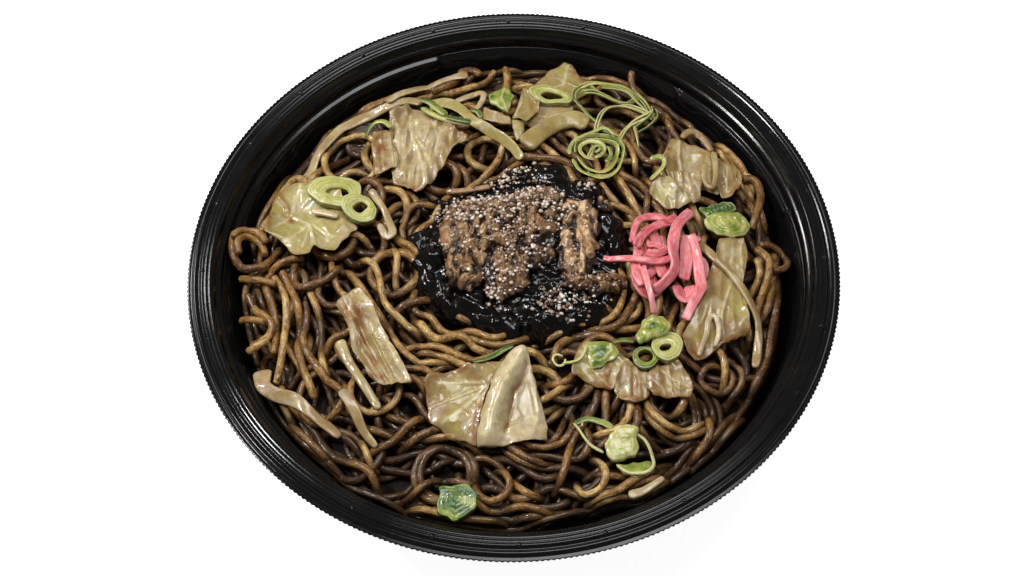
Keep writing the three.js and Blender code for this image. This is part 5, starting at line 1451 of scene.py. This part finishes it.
rings = {
    "onion_ring_left": dict(
        outer=[(-64.2, 28.6), (-63.6, 31), (-61.5, 33.4), (-56.9, 34.7), (-50.8, 33.8), (-47.3, 31.1),
               (-46.9, 27.4), (-48.6, 23.6), (-53.5, 22), (-59.6, 23.6)],
        hole=[(-58.6, 27.4), (-57.6, 29), (-53.7, 29.6), (-50.6, 28), (-51, 26.2), (-54.6, 25.6)],
        height=2.0, green=0.2, inner=0.26, layers=4, seed=1),
    "onion_ring_left_small": dict(
        outer=[(-53.2, 21), (-52.4, 25), (-48.1, 26.2), (-43.9, 24.2), (-41.8, 19.9), (-42.7, 16),
               (-46.1, 15.1), (-50.4, 17)], hole=[(-50, 20.6), (-46.9, 23.6), (-44.2, 21.2), (-47.2, 18.2)],
        height=2.2, green=0.36, inner=0.12, layers=3, seed=2),
    "onion_ring_back": dict(
        outer=[(6.1, 67.7), (8.8, 69), (13.1, 68.9), (17, 67), (20.6, 63), (18.8, 61.2), (15.1, 61.6),
               (11.3, 61), (8.8, 61.8), (6.2, 64.6)],
        hole=[(9.4, 64.5), (11.6, 66.4), (15.2, 65.8), (17.9, 63.8), (16.7, 63), (14, 62.9), (11.3, 62.9)],
        height=2.0, green=0.3, inner=0.15, layers=2, seed=3),
    "onion_ring_front_dark": dict(
        outer=[(34.8, -33.5), (35.8, -31.4), (38, -30.6), (41, -31), (42.8, -33), (42.4, -36),
               (40.3, -38.5), (37.5, -38.8), (35.2, -36.8)],
        hole=[(36.3, -32.8), (38.1, -31.6), (40.4, -31.8), (41.3, -33.6), (40.5, -36.2), (38.2, -36.8),
              (36.6, -35)], height=1.8, green=0.72, inner=0.35, layers=2, seed=4),
    "onion_ring_front_right": dict(
        outer=[(40.4, -31.8), (41.2, -28.3), (44.8, -25.8), (48.6, -26.6), (50.4, -30.1), (49, -34.5),
               (45.1, -36.8), (42, -35.2)],
        hole=[(42.6, -32.4), (43.4, -30.6), (47, -30.3), (46, -32.7), (43.7, -33.7)], height=1.9, green=0.2,
        inner=0.15, layers=3, lift=0.3, seed=5),
}
for name, cut in rings.items():
    add_piece(f"fresh_{name}", ring_slice(**cut), onion_material, [name])


def onion_strip(path, width=1.6, thickness=0.7, green=0.5, **laying):
    """A narrow strip of stalk, paler along its cut sides."""
    rows, along = laid_strip(path, width, thickness, **laying)
    rim = np.abs(np.cos(circle(rows.shape[1])))[None, :] ** 4
    return closed_body(rows, green=green * (1 - 0.4 * np.sin(along / 7)[:, None] ** 2), cut=rim)


curls = [
    dict(path=[(20.6, 64.4), (21.6, 62.2), (23.4, 60.2), (25.3, 57), (28, 54.8), (29.9, 52.1), (32.6, 49.5),
               (34, 47.6)], width=1.9, green=0.95),
    dict(path=[(20.8, 62.2), (21, 65.9), (24.1, 68.6), (27.3, 68.1), (30, 66.5)], width=2.0, green=0.6),
    dict(path=[(22.4, 67), (26.1, 69.2), (32.7, 69.4), (36.8, 69.7), (40, 68.7), (42.5, 66.8), (44.4, 64),
               (45.6, 60.5), (46.3, 57.6)], width=2.0, green=0.35),
    dict(path=[(23.5, 65.1), (26.8, 65.7), (30, 64.7), (33.2, 63.3), (36.4, 62.9), (39.3, 64.1),
               (41.7, 66.3)], width=1.7, green=0.45),
    dict(path=[(29.2, 67), (33.4, 66.9), (36.6, 66.2), (39.2, 64.9), (40.8, 62.4), (43, 60.6),
               (44.5, 58.4)], width=1.6, green=0.55),
    dict(path=[(24.2, 39.4), (25.9, 43.4), (26.9, 47.7), (27.5, 52), (28.9, 56.5), (31, 59.5), (34.3, 61.1),
               (38, 61), (41.1, 59.5), (43.5, 58), (45.6, 57)], width=1.5, green=0.15, lift=0.5),
    dict(path=[(33.4, 44.6), (35.4, 49.6), (37.5, 53), (40.1, 55), (43.4, 56.4), (46.5, 58.4)], width=1.5,
         green=0.2, lift=0.4),
    dict(path=[(39.7, 51.3), (41.6, 52.7), (44.1, 54.6), (46.9, 57.7), (46, 61)], width=2.4, green=0.75),
    dict(path=[(39.5, 52.8), (40.2, 49.3), (40.7, 44.6)], width=1.3, green=0.25),
    dict(path=[(19.6, 41.8), (19.4, 44.4), (20.6, 46.6), (23.7, 47.3), (26.9, 47.1), (30, 46.9),
               (33.6, 46.2), (35, 43.6), (34, 39.4), (32.8, 35.7), (30.7, 33.1), (27.9, 32.2), (24.8, 33.4),
               (22.5, 35.1), (21.2, 37.6), (20.1, 40.2)], width=2.7, green=0.45),
    dict(path=[(26.4, 38.6), (23.4, 39.2), (21.6, 41.8), (22.2, 44.2), (24.8, 45.3), (28.6, 44.8),
               (29.9, 42.9), (28.6, 40.3), (26.2, 39)], width=1.3, green=0.3, lift=0.4, rounding=2.5),
    dict(path=[(25.1, 41.3), (26.7, 43.2), (28.5, 43), (28, 41.3), (26.2, 40.5)], width=1.0, green=0.5,
         lift=0.4, rounding=2),
    dict(path=[(19.4, 44.6), (22.1, 46.7), (26.1, 48.4), (29.8, 50.3), (31.9, 48.9), (33.4, 46.6)],
         width=1.6, green=0.4, lift=0.5),
    dict(path=[(29.4, 36.8), (31.6, 38.6), (31.6, 41.4), (30.4, 43.4)], width=1.2, green=0.6, lift=0.3),
]


def beside(route, gap):
    """The same route, that far to its side."""
    line = np.array(route, float)
    ahead = np.gradient(line, axis=0)
    ahead /= np.linalg.norm(ahead, axis=1)[:, None]
    return line + gap * np.stack([ahead[:, 1], -ahead[:, 0]], 1)


curl_thickness, curl_split_width, curl_gap = 0.45, 1.4, 0.34
bodies = []
for number, curl in enumerate(curls):
    laying = {"rounding": 4.0, "turn": 0.35 * (-1) ** number, "twist": 0.45, **curl}
    route, width = laying.pop("path"), laying.pop("width")
    for side in (-1, 1) if width > curl_split_width else (0,):
        bodies.append(onion_strip(beside(route, curl_gap * side * width), 0.5 * width if side else width,
                                  curl_thickness, seed=330 + 3 * number + side, **laying))
add_piece("fresh_onion_curls", joined(bodies), onion_material, ["onion_curls_back_right"])


def onion_lump(corners, rise, green, seed, rings_cut=0.0, spokes=90, edge=0.8, crease=None, uneven=0.12,
               rim_cut=0.8):
    """A thick piece of stalk or bulb, with the ends of its layers showing where it is cut."""
    plan, out = spread_net(corners, spokes, rings=30, rounding=1.2, jag=0.25, jag_size=4, seed=seed)
    x, y = plan[:, :, 0], plan[:, :, 1]
    crown = rise * np.sqrt(np.clip(1 - out ** 3.0, 0, 1))[:, None]
    layers = np.cos(26 * out)
    base = height_on(cover(8, 1.6), x, y)
    folded = np.zeros(x.shape) if crease is None else near_line(x, y, crease, 0.5)
    ridged = rings_cut * 0.16 * layers[:, None]
    top = base + edge + crown + ridged + uneven * ripples(x, y, 3.4, seed + 1) + 0.5 * folded
    rows = np.concatenate([np.dstack([x, y, top]), np.dstack([x, y, base - 0.3])[::-3]])
    shade = green + rings_cut * (0.4 * (1 - out) ** 1.5 + 0.15 * layers) - 0.3 * rim_cut * out ** 10
    shade = with_underside(shade[:, None] + 0.12 * ripples(x, y, 5, seed + 2), rows, green)
    rim = with_underside(np.maximum(np.clip((out - 0.88) / 0.1, 0, 1)[:, None], folded), rows, 0)
    settle(rows)
    return closed_body(rows, green=shade, cut=rim_cut * rim)


onion_cuts = {
    "onion_slice_back_left": [
        (onion_strip, dict(
            path=[(-28.5, 60.6), (-25, 57), (-21, 54.4), (-17, 53.3), (-12.4, 53)], width=2.2,
            thickness=1.4, green=0.4)),
        (onion_strip, dict(
            path=[(-29.1, 65.1), (-25.8, 62.4), (-23.1, 58.4), (-20, 55)], width=2.8, thickness=1.2,
            green=0.8)),
        (onion_strip, dict(path=[(-20.9, 54.4), (-16.7, 53.3), (-11.9, 53)], width=1.9, green=1.1)),
        (onion_strip, dict(path=[(-12.9, 59.4), (-10.2, 59.2), (-9.2, 55.2)], width=1.8, green=0.6)),
        (onion_strip, dict(
            path=[(-46.7, 51.6), (-45.4, 54.8), (-42.3, 56.9), (-39.1, 55.3), (-38, 52.7)], width=1.6,
            green=0.7))],
    "onion_hook_right": [
        (onion_strip, dict(
            path=[(43.5, 38), (45.9, 39.6), (48.3, 38.6), (48.4, 35.6), (46.4, 33.4), (43.1, 30.6)],
            width=1.8, green=0.45))],
    "onion_arc_front": [
        (onion_strip, dict(
            path=[(16.8, -55), (18.7, -53.4), (21.3, -53), (24.2, -53.8), (26.4, -54.9), (28.5, -56.9)],
            width=1.9, green=0.7)),
        (onion_strip, dict(
            path=[(16.4, -54.4), (18.2, -56.6), (19.6, -59.3), (21.7, -61.9), (25.7, -63.8)], width=0.9,
            green=0.1)),
        (onion_strip, dict(path=[(19.3, -54), (19.1, -57)], width=0.7, green=0.1))],
    "onion_arc_front_right": [
        (onion_lump, dict(
            corners=[(28.6, -66.6), (29.2, -68), (31.3, -70.2), (34.2, -70.8), (37.9, -70.5), (40.4, -67.1),
                     (39.2, -65.2), (36.2, -65.9), (33.6, -66.4), (32.1, -67)], rise=0.5, green=0.45,
            seed=391, edge=0.4)),
        (onion_strip, dict(
            path=[(33.3, -57.7), (35.5, -58.2), (37.6, -59.7), (39, -62.3), (39.8, -65.3), (40.1, -67.1),
                  (39.1, -69.2), (36.6, -70.4), (32, -70.3), (29, -67.6)], width=1.0, green=0.05))],
    "onion_sliver_front": [
        (onion_strip, dict(
            path=[(-12.9, -35.4), (-11.2, -35.2), (-8.6, -34.4), (-5.6, -32.4), (-2.6, -30.6), (0, -29.9)],
            width=1.7, green=1.1))],
    "onion_leaf_back": [
        (onion_lump, dict(
            corners=[(-6.9, 66.6), (-2.6, 70), (-0.4, 70.3), (1.2, 65.5), (-0.6, 57.1), (-2.7, 59.4),
                     (-4.8, 61), (-6.9, 64.2)], rise=0.8, green=0.5, seed=380,
            crease=[(-1.6, 69), (-2.6, 64), (-1, 58.4)]))],
    "onion_slice_right_top": [
        (onion_lump, dict(
            corners=[(58.1, 20.4), (61.5, 22.2), (66, 23.2), (69.4, 23), (70, 20.6), (65.4, 18.6),
                     (60.8, 18)], rise=0.9, green=0.75, rings_cut=0.8, seed=385))],
    "onion_slice_right": [
        (onion_lump, dict(
            corners=[(59.6, 16.1), (61.2, 17.6), (65.4, 18.9), (71.3, 19.6), (74.2, 15.4), (72.6, 11.7),
                     (68.3, 9.4), (63.5, 10.4), (60.4, 12.8)], rise=0.9, green=0.42, rings_cut=-0.5,
            seed=390))],
    "onion_mash_front": [
        (onion_lump, dict(
            corners=[(20.6, -30.2), (24, -29.2), (27.8, -29.3), (31.1, -33.1), (29.3, -35.5), (26.7, -36.9),
                     (22.8, -38.8), (21.4, -35.5)], rise=0.7, green=0.5, edge=0.3, seed=395,
            crease=[(28.6, -30.4), (28.8, -33), (26.4, -35.6)])),
        (onion_strip, dict(
            path=[(14.4, -32.9), (12.4, -31.9), (11, -33), (11.4, -34.8), (13, -36.2), (14.9, -35.4),
                  (14.9, -33.4)], width=0.8, thickness=0.7, green=0.0, rounding=1.5)),
        (onion_strip, dict(
            path=[(13.5, -36.6), (16.9, -36.9), (19.9, -35.5), (21.4, -31.2)], width=1.0, green=0.15)),
        (onion_strip, dict(path=[(28.6, -29.9), (33, -28.9), (36, -29.4)], width=1.7, green=0.75))],
    "onion_skin_front": [
        (onion_lump, dict(
            corners=[(35.9, -28), (38.3, -22.9), (41.1, -21), (44.6, -21.4), (46.9, -24.5), (45.6, -27.8),
                     (41.6, -28.6), (37.4, -30.8)], rise=1.4, green=0.4, rings_cut=0.3, seed=400))],
    "onion_cup_front": [
        (onion_lump, dict(
            corners=[(25.7, -64.1), (25.9, -61.5), (27, -58.8), (28.9, -56.8), (31.1, -55.6), (33.8, -55.6),
                     (36, -57.2), (34.6, -59.8), (35.8, -62), (35, -64.6), (31.5, -66), (29.2, -66.6),
                     (27.4, -66.4)], rise=1.2, green=0.2, seed=405, edge=0.9, uneven=0.05,
            rings_cut=0.12))],
    "onion_end_front": [
        (onion_lump, dict(
            corners=[(-23.8, -77.8), (-22.6, -74.6), (-23.2, -72.8), (-19, -72.6), (-15.4, -72.2),
                     (-13.2, -74), (-11.8, -76), (-12.4, -79.4), (-14.2, -82), (-18, -83.8), (-22.4, -82)],
            rise=0.5, green=0.6, rings_cut=0.4, edge=1.1, spokes=130, rim_cut=0.05, uneven=0.03,
            seed=410))],
}
for number, (name, cuts) in enumerate(onion_cuts.items()):
    bodies = [make(**{"seed": 360 + number, **cut}) for make, cut in cuts]
    add_piece(f"fresh_{name}", joined(bodies), onion_material, [name])


# ---- The table, the light and the camera: a pale table in a white room, with one large soft light overhead
# and two smaller ones at the left and the back left. Lengths are in metres here.

floor_half = 3
floor_mesh = bpy.data.meshes.new("table_top")
floor_mesh.from_pydata([(-floor_half, -floor_half, 0), (floor_half, -floor_half, 0),
                        (floor_half, floor_half, 0), (-floor_half, floor_half, 0)], [], [(0, 1, 2, 3)])
floor = bpy.data.objects.new("table_top", floor_mesh)
bpy.context.scene.collection.objects.link(floor)
floor_material, _, floor_shader = shader_for("pale table", (0.93, 0.93, 0.93), 0.7, Emission_Strength=0.9)
floor_shader.inputs["Emission Color"].default_value = (1, 1, 1, 1)
floor_mesh.materials.append(floor_material)

food_middle = Vector((0, 0, 0.04))


def soft_light(name, place, size, power):
    """A round light, that many metres across and that many watts, aimed at the food."""
    data = bpy.data.lights.new(name, "AREA")
    data.shape = "DISK"
    data.size = size
    data.energy = power
    light = bpy.data.objects.new(name, data)
    light.location = place
    light.rotation_mode = "QUATERNION"
    light.rotation_quaternion = (food_middle - Vector(place)).to_track_quat("-Z", "Y")
    bpy.context.scene.collection.objects.link(light)


soft_light("large_overhead", (0.14, 0.12, 1.35), size=0.7, power=9)
soft_light("key_left", (-0.75, 0.12, 1.05), size=0.2, power=7)
soft_light("back_left", (-0.72, 0.6, 0.85), size=0.2, power=4)
world = bpy.data.worlds.new("white room")
bpy.context.scene.world = world
world.use_nodes = True
world.node_tree.nodes["Background"].inputs["Color"].default_value = (1, 1, 1, 1)
world.node_tree.nodes["Background"].inputs["Strength"].default_value = 0.13

rim_level = 0.0543
camera_distance, camera_elevation, camera_roll = 0.7, math.radians(56.879), math.radians(-1.22)
sensor_width, lens_length = 36, 80.3
picture_width, picture_height = 1024, 576
bowl_middle_across, bowl_middle_down = 513.34, 266.5
camera_data = bpy.data.cameras.new("camera")
camera = bpy.data.objects.new("camera", camera_data)
bpy.context.scene.collection.objects.link(camera)
bpy.context.scene.camera = camera
back = Vector((0, -math.cos(camera_elevation), math.sin(camera_elevation)))
rolled = Matrix.Rotation(camera_roll, 4, "Z").to_quaternion()
camera.location = Vector((0, 0, rim_level)) + camera_distance * back
camera.rotation_mode = "QUATERNION"
camera.rotation_quaternion = (-back).to_track_quat("-Z", "Y") @ rolled
camera_data.sensor_width = sensor_width
camera_data.lens = lens_length
camera_data.shift_x = (picture_width / 2 - bowl_middle_across) / picture_width
camera_data.shift_y = -(picture_height / 2 - bowl_middle_down) / picture_width
bpy.context.scene.view_settings.view_transform = "Standard"
